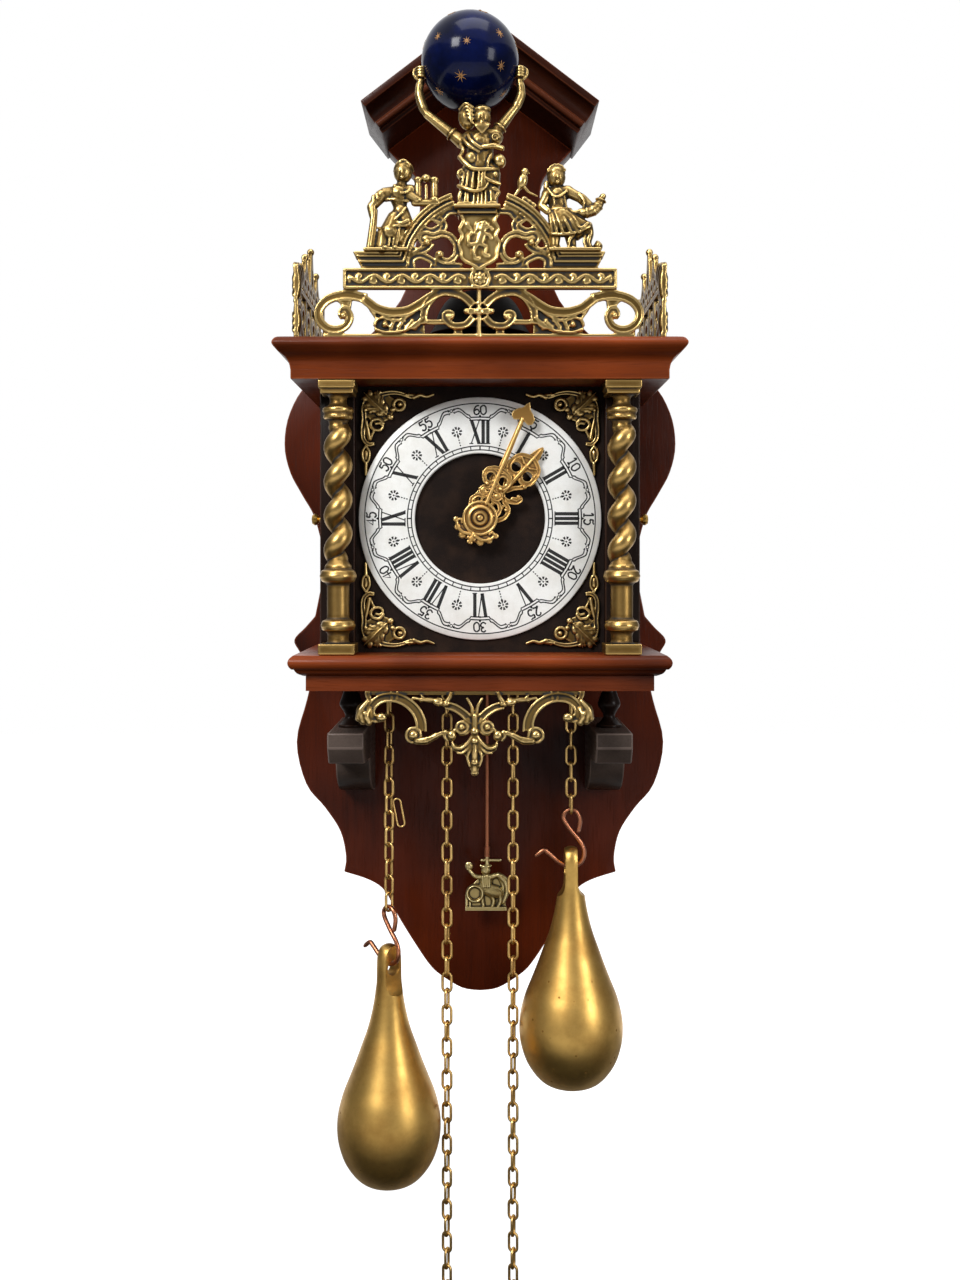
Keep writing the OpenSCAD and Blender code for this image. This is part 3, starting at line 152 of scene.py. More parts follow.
def cast_patina():
    """Old cast metal: rubbed bright on its ridges, dark in its recesses and where painted shade is added to the
    recess value, cloudy between.
    """
    tree, take, give = effect("cast_patina", [("Vector", "v"), ("Recess", "f"), ("Rubbed", "c"), ("Metal", "c"),
                                              ("Grime", "c")],
                              [("Colour", "c"), ("Roughness", "f"), ("Metallic", "f"), ("Height", "f")])
    broad = cloud(tree, take["Vector"], 90.0, 4.0, 0.6)
    fine = cloud(tree, take["Vector"], 700.0, 3.0, 0.6)
    low = plus(tree, take["Recess"], times(tree, less(tree, broad, 0.5), 0.5))
    low = plus(tree, low, times(tree, less(tree, fine, 0.5), 0.15))
    dark = span(tree, low, 0.10, 0.85)
    bright = span(tree, low, -0.08, -0.85)
    colour = mixed(tree, bright, take["Metal"], take["Rubbed"])
    colour = mixed(tree, dark, colour, take["Grime"])
    tree.links.new(colour, give["Colour"])
    rough = span(tree, less(tree, dark, times(tree, bright, 0.6)), -0.6, 1.0, 0.3, 0.62)
    tree.links.new(rough, give["Roughness"])
    tree.links.new(span(tree, dark, 0.0, 1.0, 1.0, 0.35), give["Metallic"])
    tree.links.new(fine, give["Height"])
    return tree


def handled_metal():
    """Worked metal: faint clouds of tarnish, small pits and fine wiping marks."""
    tree, take, give = effect("handled_metal", [("Vector", "v"), ("Metal", "c"), ("Tarnish", "c"),
            ("Amount", "f"), ("Pitting", "f"), ("Dullness", "f")],
                              [("Colour", "c"), ("Roughness", "f"), ("Height", "f")])
    broad = cloud(tree, take["Vector"], 38.0, 5.0, 0.62)
    marks = cloud(tree, stretched(tree, take["Vector"], (260, 260, 1500)), 1.0, 2.0, 0.5)
    holes = put(tree, "ShaderNodeTexVoronoi", {"Vector": take["Vector"], "Scale": 150.0}).outputs["Distance"]
    few = cloud(tree, take["Vector"], 24.0, 2.0)
    pit = times(tree, span(tree, holes, 0.16, 0.06), span(tree, few, 0.5, 0.6))
    pit = times(tree, pit, take["Pitting"])
    stain = times(tree, span(tree, broad, 0.42, 0.72), take["Amount"])
    colour = mixed(tree, sums(tree, "MAXIMUM", stain, pit), take["Metal"], take["Tarnish"])
    tree.links.new(colour, give["Colour"])
    rough = plus(tree, span(tree, broad, 0.35, 0.75, 0.22, 0.36), times(tree, marks, 0.12))
    rough = plus(tree, rough, take["Dullness"])
    tree.links.new(plus(tree, rough, times(tree, pit, 0.3)), give["Roughness"])
    tree.links.new(less(tree, times(tree, marks, 0.25), pit), give["Height"])
    return tree


WOOD, PATINA, HANDLED = wood_figure(), cast_patina(), handled_metal()


def material(name):
    mat = bpy.data.materials.new(name)
    mat.use_nodes = True
    tree = mat.node_tree
    return mat, tree, tree.nodes["Principled BSDF"], put(tree, "ShaderNodeTexCoord").outputs["Object"]


def grouped(tree, group, feeds):
    return put(tree, "ShaderNodeGroup", feeds, node_tree=group).outputs


def bumped(tree, skin, height, strength, depth):
    bump = put(tree, "ShaderNodeBump", {"Height": height, "Strength": strength, "Distance": depth})
    tree.links.new(bump.outputs[0], skin.inputs["Normal"])


def wood(name, pale, deep, worn, turn=(0, 0, 0), gloss=0.03):
    mat, tree, skin, place = material(name)
    edge = put(tree, "ShaderNodeAttribute", attribute_name="edge").outputs["Fac"]
    out = grouped(tree, WOOD, {"Vector": stretched(tree, place, (1, 1, 1), turn), "Pale": tone(*pale),
                               "Deep": tone(*deep), "Worn": tone(*worn), "Edge": edge})
    feed(tree, skin, {"Base Color": out["Colour"], "Roughness": out["Roughness"], "Coat Weight": gloss,
                      "Coat Roughness": 0.22, "Specular IOR Level": 0.09})
    bumped(tree, skin, out["Height"], 0.2, 0.0002)
    return mat


def cast(name, rubbed, metal, grime_and_shade):
    mat, tree, skin, place = material(name)
    recess = put(tree, "ShaderNodeAttribute", attribute_name="recess").outputs["Fac"]
    out = grouped(tree, PATINA, {"Vector": place, "Recess": recess, "Rubbed": tone(*rubbed),
                                 "Metal": tone(*metal), "Grime": tone(*grime_and_shade)})
    feed(tree, skin, {"Base Color": out["Colour"], "Roughness": out["Roughness"], "Metallic": out["Metallic"]})
    bumped(tree, skin, out["Height"], 0.12, 0.0002)
    return mat


def worked(name, metal, tarnish, amount, pitting=0.0, dull=0.0, rim=(255, 255, 255)):
    """Wrought or turned metal; rim tints what it mirrors at a glancing angle."""
    mat, tree, skin, place = material(name)
    out = grouped(tree, HANDLED, {"Vector": place, "Metal": tone(*metal), "Tarnish": tone(*tarnish),
                                  "Amount": amount, "Pitting": pitting, "Dullness": dull})
    feed(tree, skin, {"Base Color": out["Colour"], "Roughness": out["Roughness"], "Metallic": 1.0,
                      "Specular Tint": tone(*rim)})
    bumped(tree, skin, out["Height"], 0.15, 0.0002)
    return mat


mahogany_up = wood("mahogany_upright_grain", (89, 32, 11), (34, 10, 4), (118, 54, 28))
mahogany_along = wood("mahogany_cross_grain", (138, 62, 26), (66, 25, 9), (156, 82, 42), (0, QUARTER, 0))
# painted shade: the gable mouldings take the board's mahogany made darker, painting in the shade they sit in
mahogany_rake_painted_shade = wood("mahogany_right_rake", (62, 26, 13), (22, 8, 4), (92, 46, 26),
                       (0, math.radians(-127.4), 0))
# partly painted light: the bracket wood is really blackened, but its colour is set lighter to offset the shade
# under the case
dark_oak_painted_light = wood("blackened_bracket_wood", (94, 81, 74), (54, 45, 40), (128, 112, 104), (QUARTER, 0, 0),
                gloss=0.06)
dark_post = wood("blackened_post_wood", (38, 24, 18), (16, 10, 8), (64, 42, 31), gloss=0.05)
crest_brass = cast("dark_crest_brass", (196, 167, 108), (104, 82, 44), (16, 12, 6))
old_brass = cast("old_cast_brass", (204, 175, 116), (122, 97, 53), (20, 15, 8))
column_brass = cast("column_cast_brass", (190, 156, 94), (122, 94, 49), (26, 19, 10))
gilt = cast("gilded_hands", (224, 186, 118), (168, 127, 69), (48, 30, 13))
bob_brass = cast("pale_bob_brass", (220, 204, 150), (166, 146, 96), (44, 36, 20))
weight_brass = worked("satin_weight_brass", (206, 166, 92), (138, 97, 42), 0.7, 1.0, dull=0.09)
chain_brass = worked("bright_chain_brass", (226, 188, 120), (138, 98, 50), 0.65, dull=0.05, rim=(30, 20, 10))
copper = worked("copper_hook_wire", (186, 122, 90), (104, 62, 44), 0.5)
rod_steel = worked("browned_rod_steel", (164, 104, 76), (100, 62, 46), 0.6, dull=0.1)
steel = worked("movement_steel", (150, 150, 152), (92, 86, 80), 0.5)
movement_brass = worked("movement_brass", (204, 164, 86), (140, 104, 50), 0.45)
# painted shade: the bronze bell is coloured near-black to stand in for the shade behind the crest
bell_painted_shade = worked("dark_bell_bronze", (18, 15, 13), (10, 8, 7), 0.6, dull=0.3)


def dial_ground():
    mat, tree, skin, place = material("blackened_dial_ground")
    nap = cloud(tree, place, 2600.0, 2.0)
    worn = cloud(tree, place, 60.0, 4.0)
    colour = mixed(tree, span(tree, worn, 0.45, 0.8), tone(22, 14, 11), tone(46, 31, 22))
    colour = mixed(tree, span(tree, nap, 0.55, 0.8), colour, tone(60, 42, 31))
    feed(tree, skin, {"Base Color": colour, "Roughness": 0.85, "Specular IOR Level": 0.15})
    bumped(tree, skin, nap, 0.5, 0.0002)
    return mat


def silvered():
    mat, tree, skin, place = material("silvered_dial_ring")
    veil = cloud(tree, place, 55.0, 5.0, 0.6)
    grain = cloud(tree, place, 3200.0, 2.0)
    colour = mixed(tree, span(tree, veil, 0.42, 0.75), tone(242, 242, 239), tone(220, 218, 211))
    colour = mixed(tree, span(tree, grain, 0.6, 0.85), colour, tone(200, 198, 190))
    feed(tree, skin, {"Base Color": colour, "Roughness": span(tree, veil, 0.3, 0.8, 0.38, 0.55),
                      "Metallic": 0.2})
    bumped(tree, skin, grain, 0.12, 0.0001)
    return mat


def printed(name, dark, faded):
    mat, tree, skin, place = material(name)
    worn = cloud(tree, place, 420.0, 4.0, 0.65)
    colour = mixed(tree, span(tree, worn, 0.58, 0.8), tone(*dark), tone(*faded))
    feed(tree, skin, {"Base Color": colour, "Roughness": 0.55})
    return mat


def globe_paint():
    mat, tree, skin, place = material("night_blue_globe_paint")
    veil = cloud(tree, place, 42.0, 5.0, 0.6)
    feed(tree, skin, {"Base Color": mixed(tree, span(tree, veil, 0.4, 0.75), tone(3, 7, 30), tone(8, 18, 64)),
                      "Roughness": span(tree, cloud(tree, place, 260.0), 0.3, 0.8, 0.1, 0.24),
                      "Specular IOR Level": 0.09, "Coat Weight": 0.06, "Coat Roughness": 0.08})
    bumped(tree, skin, veil, 0.08, 0.001)
    return mat


def pane_glass():
    mat, tree, skin, place = material("side_door_glass")
    feed(tree, skin, {"Base Color": (0.94, 0.97, 0.95, 1), "Transmission Weight": 1.0, "IOR": 1.45,
                      "Roughness": span(tree, cloud(tree, place, 300.0, 3.0), 0.4, 0.8, 0.01, 0.05)})
    bumped(tree, skin, cloud(tree, place, 30.0, 2.0), 0.06, 0.002)
    return mat


ground_mat, silver_mat, ink = dial_ground(), silvered(), printed("black_dial_print", (10, 9, 9), (44, 41, 38))
globe_mat, star_mat = globe_paint(), printed("gold_star_leaf", (176, 128, 74), (120, 84, 50))
glass_mat = pane_glass()


# ---- shape helpers
def spline(points, steps=6):
    """A smooth run through the points; a point may carry any number of values."""
    p = [np.array(q, float) for q in points]
    out = []
    for i in range(len(p) - 1):
        a, b, c, d = p[max(i - 1, 0)], p[i], p[i + 1], p[min(i + 2, len(p) - 1)]
        for k in range(steps):
            t = k / steps
            out.append(0.5 * (2 * b + (c - a) * t + (2 * a - 5 * b + 4 * c - d) * t * t
                              + (3 * b - a - 3 * c + d) * t ** 3))
    return out + [p[-1]]


def whorl(centre, r0, r1, a0, a1, n=24):
    """A spiral from radius r0 at a0 degrees to r1 at a1."""
    out = []
    for i in range(n + 1):
        r, a = r0 + (r1 - r0) * i / n, math.radians(a0 + (a1 - a0) * i / n)
        out.append((centre[0] + r * math.cos(a), centre[1] + r * math.sin(a)))
    return out


def lifted(points, d):
    """Points in x, z set at one depth."""
    return [(q[0], q[1], d) for q in points]


def flip(points, axis=0.0):
    return [(2 * axis - q[0],) + tuple(q[1:]) for q in points]


class Shape:
    """Solid bits gathered in one mesh, in x, z, d millimetres."""

    def __init__(self):
        self.points, self.faces = [], []

    def add(self, points, faces):
        base = len(self.points)
        self.points += [tuple(float(c) for c in q) for q in points]
        self.faces += [tuple(base + i for i in f) for f in faces]

    def ball(self, centre, radius, turn=0.0, rings=8, sides=14):
        """An ellipsoid; radius is one value or (x, z, d), turned in the plane of the wall."""
        rad = (radius,) * 3 if isinstance(radius, (int, float)) else radius
        c, s = math.cos(math.radians(turn)), math.sin(math.radians(turn))
        pts = []
        for i in range(1, rings):
            v = math.pi * i / rings
            for k in range(sides):
                u = 2 * math.pi * k / sides
                pts.append((math.sin(v) * math.cos(u), math.sin(v) * math.sin(u), math.cos(v)))
        pts += [(0, 0, 1), (0, 0, -1)]
        spots = []
        for x, z, d in pts:
            x, z, d = x * rad[0], z * rad[1], d * rad[2]
            spots.append((centre[0] + x * c - z * s, centre[1] + x * s + z * c, centre[2] + d))
        faces = []
        for i in range(rings - 2):
            for k in range(sides):
                a, b = i * sides + k, i * sides + (k + 1) % sides
                faces.append((a, a + sides, b + sides, b))
        top = (rings - 1) * sides
        for k in range(sides):
            faces.append((k, (k + 1) % sides, top))
            faces.append(((rings - 2) * sides + (k + 1) % sides, (rings - 2) * sides + k, top + 1))
        self.add(spots, faces)

    def rings(self, rows, closed=False):
        """A skin over rows of points, each a ring of the same count; an open run gets end caps."""
        n, sides = len(rows), len(rows[0])
        faces = []
        for i in range(n if closed else n - 1):
            j = (i + 1) % n
            for k in range(sides):
                m = (k + 1) % sides
                faces.append((i * sides + k, i * sides + m, j * sides + m, j * sides + k))
        if not closed:
            faces += [tuple(range(sides - 1, -1, -1)), tuple((n - 1) * sides + k for k in range(sides))]
        self.add([q for row in rows for q in row], faces)

    def tube(self, points, radius, flat=1.0, sides=10, ends=True, closed=False):
        """A rod along x, z, d points; radius is one value, a (start, end) pair or one for each point."""
        p = [np.array(q, float) for q in points]
        n = len(p)
        if isinstance(radius, (int, float)):
            rad = [radius] * n
        elif len(radius) == 2 and n != 2:
            rad = [radius[0] + (radius[1] - radius[0]) * i / (n - 1) for i in range(n)]
        else:
            rad = list(radius)
        rows = []
        for i in range(n):
            if closed:
                t = p[(i + 1) % n] - p[i - 1]
            else:
                t = p[min(i + 1, n - 1)] - p[max(i - 1, 0)]
            t = t / (np.linalg.norm(t) or 1.0)
            up = np.array((0, 0, 1.0)) if abs(t[2]) < 0.9 else np.array((1.0, 0, 0))
            side = np.cross(t, up)
            side /= np.linalg.norm(side)
            up = np.cross(side, t)
            rows.append([p[i] + rad[i] * (side * math.cos(a) + up * math.sin(a) * flat)
                         for a in (2 * math.pi * k / sides for k in range(sides))])
        self.rings(rows, closed)
        if ends and not closed:
            self.ball(p[0], (rad[0], rad[0], rad[0] * flat), 0, 6, 10)
            self.ball(p[-1], (rad[-1], rad[-1], rad[-1] * flat), 0, 6, 10)

    def run(self, points, radius, steps=5, flat=1.0):
        """A rod along a smooth run through x, z, d points."""
        self.tube(spline(points, steps), radius, flat)

    def wire(self, points, d, radius, steps=5):
        """A rod along a smooth run through x, z points at one depth."""
        self.tube(lifted(spline(points, steps), d), radius)

    def hoop(self, centre, r, d, radius, n=24, flat=1.0, sides=10):
        """A closed ring of wire at one depth."""
        self.tube(lifted(whorl(centre, r, r, 0, 360, n)[:-1], d), radius, flat, sides, closed=True)

    def limb(self, a, ra, b, rb):
        """A straight, tapered and rounded rod."""
        self.tube([a, b], (ra, rb), 1.0, 14)

    def plate(self, outline, d0, d1):
        """A flat outline in x, z raised from depth d0 to d1."""
        area = sum(outline[i - 1][0] * q[1] - q[0] * outline[i - 1][1] for i, q in enumerate(outline))
        pts = list(outline) if area > 0 else list(outline)[::-1]
        n = len(pts)
        cap = geometry.tessellate_polygon([[Vector((q[0], q[1], 0)) for q in pts]])
        faces = [tuple(range(n, 2 * n))] if n < 5 else []
        if n < 5:
            faces.append(tuple(range(n - 1, -1, -1)))
        else:
            for a, b, c in cap:
                up = ((pts[b][0] - pts[a][0]) * (pts[c][1] - pts[a][1])
                      - (pts[c][0] - pts[a][0]) * (pts[b][1] - pts[a][1])) > 0
                a, c = (a, c) if up else (c, a)
                faces += [(a + n, b + n, c + n), (c, b, a)]
        faces += [(i, (i + 1) % n, (i + 1) % n + n, i + n) for i in range(n)]
        self.add([(q[0], q[1], d0) for q in pts] + [(q[0], q[1], d1) for q in pts], faces)

    def box(self, x0, x1, z0, z1, d0, d1):
        self.plate([(x0, z0), (x1, z0), (x1, z1), (x0, z1)], d0, d1)

    def ribbon(self, path, width, d0, d1):
        """A flat band along an x, z path; width is one value or (start, end)."""
        p = [np.array(q[:2], float) for q in path]
        n = len(p)
        w = (width, width) if isinstance(width, (int, float)) else width
        left, right = [], []
        for i in range(n):
            t = p[min(i + 1, n - 1)] - p[max(i - 1, 0)]
            t /= np.linalg.norm(t) or 1.0
            half = (w[0] + (w[1] - w[0]) * i / (n - 1)) / 2
            side = np.array((-t[1], t[0])) * half
            left.append(p[i] + side)
            right.append(p[i] - side)
        pts = []
        for i in range(n):
            pts += [(*right[i], d0), (*left[i], d0), (*left[i], d1), (*right[i], d1)]
        faces = [(3, 2, 1, 0), tuple(4 * (n - 1) + k for k in range(4))]
        for i in range(n - 1):
            for k in range(4):
                m = (k + 1) % 4
                faces.append((4 * i + k, 4 * i + m, 4 * i + 4 + m, 4 * i + 4 + k))
        self.add(pts, faces)
        return left, right

    def band(self, path, width, d0, d1, ridge=0.7):
        """A cast scroll band: a flat strip with a bead along each edge."""
        left, right = self.ribbon(path, width, d0, d1)
        inset = ridge * 0.6
        for edge, other in ((left, right), (right, left)):
            run = []
            for a, b in zip(edge, other):
                gap = np.linalg.norm(b - a) or 1.0
                q = a + (b - a) * min(inset / gap, 0.45)
                run.append((q[0], q[1], d1 - ridge * 0.1))
            self.tube(run, ridge, 1.0, 8)

    def leaf(self, base, turn, length, width, d, thick=1.6, lobes=4):
        """A leaf from its base point with a raised vein and lobed sides."""
        c, s = math.cos(math.radians(turn)), math.sin(math.radians(turn))

        def spot(u, v, up=0.0):
            return (base[0] + u * c - v * s, base[1] + u * s + v * c, d + up)
        mid = spot(length * 0.45, 0)
        self.ball(mid, (length * 0.5, width * 0.32, thick), turn, 8, 16)
        for k in range(lobes):
            u = length * (0.16 + 0.66 * k / max(lobes - 1, 1))
            w = width * 0.42 * math.sin(math.pi * (0.22 + 0.6 * k / max(lobes - 1, 1)))
            for side in (-1, 1):
                self.ball(spot(u, side * w * 0.75), (length * 0.15, width * 0.17, thick * 0.85),
                          turn + side * 38, 6, 10)
        vein = [spot(length * t, 0, thick * (0.95 - 0.75 * abs(t - 0.4))) for t in (0.0, 0.25, 0.5, 0.75, 1.0)]
        self.tube(vein, (thick * 0.42, thick * 0.2), 1.0, 8)

    def folds(self, top, low, count, radius, bulge=0.0, flat=0.8):
        """Cloth folds running from one polyline to another."""
        a, b = spline(top, 8), spline(low, 8)
        for k in range(count):
            t = k / max(count - 1, 1)
            p, q = a[round(t * (len(a) - 1))], b[round(t * (len(b) - 1))]
            mid = (p + q) / 2 + np.array((0, 0, bulge))
            self.tube(spline([p, mid, q], 4), (radius * 0.7, radius), flat, 8)

    def turned(self, centre, profile, sides=40):
        """A lathe form about a vertical axis; profile rows are (radius, z)."""
        turns = [2 * math.pi * k / sides for k in range(sides)]
        rows = [(max(r, 0.001), z) for r, z in profile]
        self.rings([[(centre[0] + r * math.cos(a), centre[1] + z, centre[2] - r * math.sin(a)) for a in turns]
                    for r, z in rows])

    def mirrored(self, axis=0.0):
        """Adds the mirror image of everything gathered so far."""
        pts = [(2 * axis - x, z, d) for x, z, d in self.points]
        faces = [tuple(reversed(f)) for f in self.faces]
        self.add(pts, faces)

    def turned_by(self, angle, pivot):
        """Turns everything clockwise as seen from the front."""
        c, s = math.cos(math.radians(-angle)), math.sin(math.radians(-angle))
        self.points = [(pivot[0] + (x - pivot[0]) * c - (z - pivot[1]) * s,
                        pivot[1] + (x - pivot[0]) * s + (z - pivot[1]) * c, d) for x, z, d in self.points]

    def mesh(self, name):
        me = bpy.data.meshes.new(name)
        me.from_pydata([(x * MM, -d * MM, z * MM) for x, z, d in self.points], [], self.faces)
        me.update()
        return me


def placed(name, data):
    obj = bpy.data.objects.new(name, data)
    scene.collection.objects.link(obj)
    return obj


def piece(name, mesh, body, mat, slot_name, *replaced):
    """A finished piece: its material, the body it rides on and the nodes it stands for."""
    obj = placed(name, mesh)
    mesh.materials.clear()
    mesh.materials.append(mat)
    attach(obj, body)
    if replaced:
        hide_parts(*replaced)
    return obj


def growth(name, gives, takes):
    """An empty geometry node tree, the identifiers of its named inputs and its input sockets."""
    tree = bpy.data.node_groups.new(name, "GeometryNodeTree")
    tree.interface.new_socket(gives, in_out="OUTPUT", socket_type="NodeSocketGeometry")
    ids = {label: tree.interface.new_socket(label, in_out="INPUT", socket_type="NodeSocket" + kind).identifier
           for label, kind in takes}
    return tree, ids, tree.nodes.new("NodeGroupInput").outputs


def end_growth(tree, made, finish):
    made = put(tree, "GeometryNodeRealizeInstances", {"Geometry": made}).outputs[0]
    made = put(tree, "GeometryNodeSetMaterial", {"Geometry": made, "Material": finish}).outputs[0]
    tree.links.new(made, tree.nodes.new("NodeGroupOutput").inputs[0])


def grown(name, data, tree, ids, values):
    """The plain mesh that a geometry node tree makes with these inputs."""
    obj = placed(name, data)
    mod = obj.modifiers.new("growth", "NODES")
    mod.node_group = tree
    for label, value in values.items():
        mod[ids[label]] = value
    return plain_mesh(obj, name)


def plain_mesh(obj, name):
    """The evaluated mesh of a helper object, which is then removed."""
    seen = obj.evaluated_get(bpy.context.evaluated_depsgraph_get())
    me = bpy.data.meshes.new_from_object(seen)
    me.name = name
    old = obj.data
    bpy.data.objects.remove(obj)
    if old.users == 0:
        bpy.data.meshes.remove(old)
    return me


def smooth(mesh, degrees=None):
    mesh.polygons.foreach_set("use_smooth", [True] * len(mesh.polygons))
    if degrees is not None:
        mesh.set_sharp_from_angle(angle=math.radians(degrees))


def faced_out(mesh):
    bm = bmesh.new()
    bm.from_mesh(mesh)
    bmesh.ops.recalc_face_normals(bm, faces=bm.faces)
    bm.to_mesh(mesh)
    bm.free()


def relaxed(mesh, rounds, pull, push):
    """The points eased towards their neighbours and back, and the function that averages neighbours."""
    n = len(mesh.vertices)
    v = np.empty(n * 3)
    mesh.vertices.foreach_get("co", v)
    v = v.reshape(-1, 3)
    e = np.empty(len(mesh.edges) * 2, np.int32)
    mesh.edges.foreach_get("vertices", e)
    a, b = e[0::2], e[1::2]
    count = np.maximum(np.bincount(e, minlength=n), 1)[:, None]

    def mean(p):
        return np.stack([np.bincount(a, p[b, k], n) + np.bincount(b, p[a, k], n) for k in range(3)], 1) / count
    for _ in range(rounds):
        v = v + pull * (mean(v) - v)
        v = v + push * (mean(v) - v)
    return v, mean


def melted(shape, name, voxel, reach=14, depth=0.4, rounds=5):
    """Fuses the gathered bits into one casting and marks its recesses and ridges."""
    obj = placed(name, shape.mesh(name))
    mod = obj.modifiers.new("fuse", "REMESH")
    mod.mode = "VOXEL"
    mod.voxel_size = voxel * MM
    me = plain_mesh(obj, name)
    v, mean = relaxed(me, rounds, 0.55, -0.56)
    me.vertices.foreach_set("co", v.ravel())
    me.update()
    n = np.empty(len(v) * 3)
    me.vertices.foreach_get("normal", n)
    n = n.reshape(-1, 3)
    wide = near = v
    for k in range(reach):
        wide = mean(wide)
        if k == reach // 3:
            near = wide
    low = ((wide - v) * n).sum(1) / (depth * MM) + 0.5 * ((near - v) * n).sum(1) / (depth * MM * 0.5)
    tag = me.attributes.new("recess", "FLOAT", "POINT")
    tag.data.foreach_set("value", np.clip(low, -1.5, 1.5).astype(np.float32))
    smooth(me)
    return me


def casting(shape, name, node, mat, voxel, reach=14, depth=0.4, body="case", slot_name="aged_brass"):
    """A piece fused from its gathered bits."""
    piece(name, melted(shape, name, voxel, reach, depth), body, mat, slot_name, node)


def bare(shape, name, body, mat, slot_name, *replaced, angle=None):
    """A piece that keeps the mesh it was drawn with."""
    me = shape.mesh(name)
    smooth(me, angle)
    piece(name, me, body, mat, slot_name, *replaced)


def eased_copy(node, width, mat, slot_name, body="case", angle=28):
    """A wooden piece made from its CAD node, with its corners eased and marked as worn."""
    bm = bmesh.new()
    bm.from_mesh(nodes[node].data)
    bmesh.ops.remove_doubles(bm, verts=bm.verts, dist=2e-6)
    bmesh.ops.dissolve_limit(bm, angle_limit=math.radians(0.6), verts=bm.verts, edges=bm.edges)
    tag = bm.faces.layers.float.new("edge")
    crisp = [e for e in bm.edges if len(e.link_faces) == 2 and e.calc_face_angle(0) > math.radians(angle)]
    made = bmesh.ops.bevel(bm, geom=crisp, offset=width * MM, offset_type="OFFSET", segments=2, profile=0.6,
                           affect="EDGES", clamp_overlap=True)
    for f in made["faces"]:
        f[tag] = 1.0
    me = bpy.data.meshes.new(node + "_wood")
    bm.to_mesh(me)
    bm.free()
    smooth(me, 32)
    piece(me.name, me, body, mat, slot_name, node)


# ---- camera, light and floor
PHOTO_TALL, FOCAL, HORIZON = 1280, 1244, 70  # the photo's height, focal length and horizon shift, in its pixels
EYE = (0.0, -0.908, -0.300)  # where the photo's perspective puts the camera
FLOOR_Z = -0.95


def studio():
    """The photo's camera, three soft lamps in a white room, a floor and the cards that metal mirrors."""
    cam = placed("camera", bpy.data.cameras.new("camera"))
    cam.location = EYE
    cam.rotation_euler = (QUARTER, 0, 0)
    cam.data.sensor_fit = "VERTICAL"
    cam.data.sensor_height = 36.0
    cam.data.lens = 36.0 * FOCAL / PHOTO_TALL
    cam.data.shift_y = -HORIZON / PHOTO_TALL
    cam.data.clip_start = 0.01
    scene.camera = cam
    scene.view_settings.view_transform = "Standard"

    world = bpy.data.worlds.new("studio_white")
    scene.world = world
    world.use_nodes = True
    tree = world.node_tree
    back = tree.nodes["Background"]
    path = put(tree, "ShaderNodeLightPath").outputs
    seen = sums(tree, "MAXIMUM", sums(tree, "MAXIMUM", path["Is Camera Ray"], path["Is Glossy Ray"]),
                path["Is Transmission Ray"])
    back.inputs["Color"].default_value = (1, 1, 1, 1)
    facing = put(tree, "ShaderNodeSeparateXYZ", {"Vector": put(tree,
            "ShaderNodeNewGeometry").outputs["Normal"]}).outputs["Z"]
    tree.links.new(sums(tree, "MAXIMUM", seen, span(tree, facing, 0.2, -0.7, 0.1, 0.6)),
                   back.inputs["Strength"])

    def lamp(name, place, aim, size, power):
        data = bpy.data.lights.new(name, "AREA")
        data.shape = "RECTANGLE"
        data.size, data.size_y = size
        data.energy = power
        obj = placed(name, data)
        obj.location = place
        obj.rotation_euler = (Vector(aim) - Vector(place)).to_track_quat("-Z", "Y").to_euler()
    lamp("key_softbox", (-1.0, -1.6, 0.85), (0, 0, -0.28), (0.55, 0.65), 38)
    lamp("fill_softbox", (1.5, -1.4, 0.1), (0, 0, -0.3), (0.5, 0.8), 15)
    lamp("top_softbox", (0.1, -0.5, 1.3), (0, -0.05, -0.2), (1.2, 0.8), 14)

    def sheet(name, corners, mat):
        me = bpy.data.meshes.new(name)
        me.from_pydata(corners, [], [tuple(range(len(corners)))])
        me.materials.append(mat)
        obj = placed(name, me)
        return obj

    def level(x, y0, y1, z):
        return [(-x, y0, z), (x, y0, z), (x, y1, z), (-x, y1, z)]

    def matt(name, grey, rough):
        mat, tree, skin, _ = material(name)
        feed(tree, skin, {"Base Color": (grey, grey, grey, 1), "Roughness": rough, "Specular IOR Level": 0.0,
                          "Emission Color": (1, 1, 1, 1)})
        return mat, tree, skin
    floor_mat, tree, skin = matt("pale_floor", 0.6, 0.9)
    path = put(tree, "ShaderNodeLightPath").outputs
    seen = sums(tree, "MAXIMUM", path["Is Camera Ray"], path["Is Glossy Ray"])
    feed(tree, skin, {"Emission Strength": times(tree, seen, 0.86)})
    sheet("floor", level(4, -4, 4, FLOOR_Z), floor_mat)

    def flag(name, corners, shade):
        """A grey card that, as made here, only the shiny surfaces see."""
        mat, tree, skin = matt(name, 0.01, 1.0)
        feed(tree, skin, {"Emission Strength": shade})
        card = sheet(name, corners, mat)
        card.visible_camera = card.visible_shadow = card.visible_transmission = card.visible_diffuse = False
        return card
    flag("front_card", [(-3, -2.6, -1.9), (3, -2.6, -1.9), (3, -2.6, 1.6), (-3, -2.6, 1.6)], 0.2)
    for side in (-1, 1):
        flag("side_card_%s" % ("left" if side < 0 else "right"),
             [(2.1 * side, -2.6, -1.9), (2.1 * side, 3.0, -1.9), (2.1 * side, 3.0, 1.2),
              (2.1 * side, -2.6, 1.2)], 0.16)
    # below the weights: dark in front, grey behind, and no light thrown up from the floor
    flag("floor_card", level(1.6, -0.85, 0.6, FLOOR_Z + 0.01), 0.0).visible_diffuse = True
    flag("floor_glow", level(1.6, -0.04, 0.6, FLOOR_Z + 0.015), 0.27)
    under = flag("floor_shade", level(1.6, -2.4, -0.85, FLOOR_Z + 0.01), 0.0)
    under.visible_diffuse = True
    under.visible_glossy = False


studio()


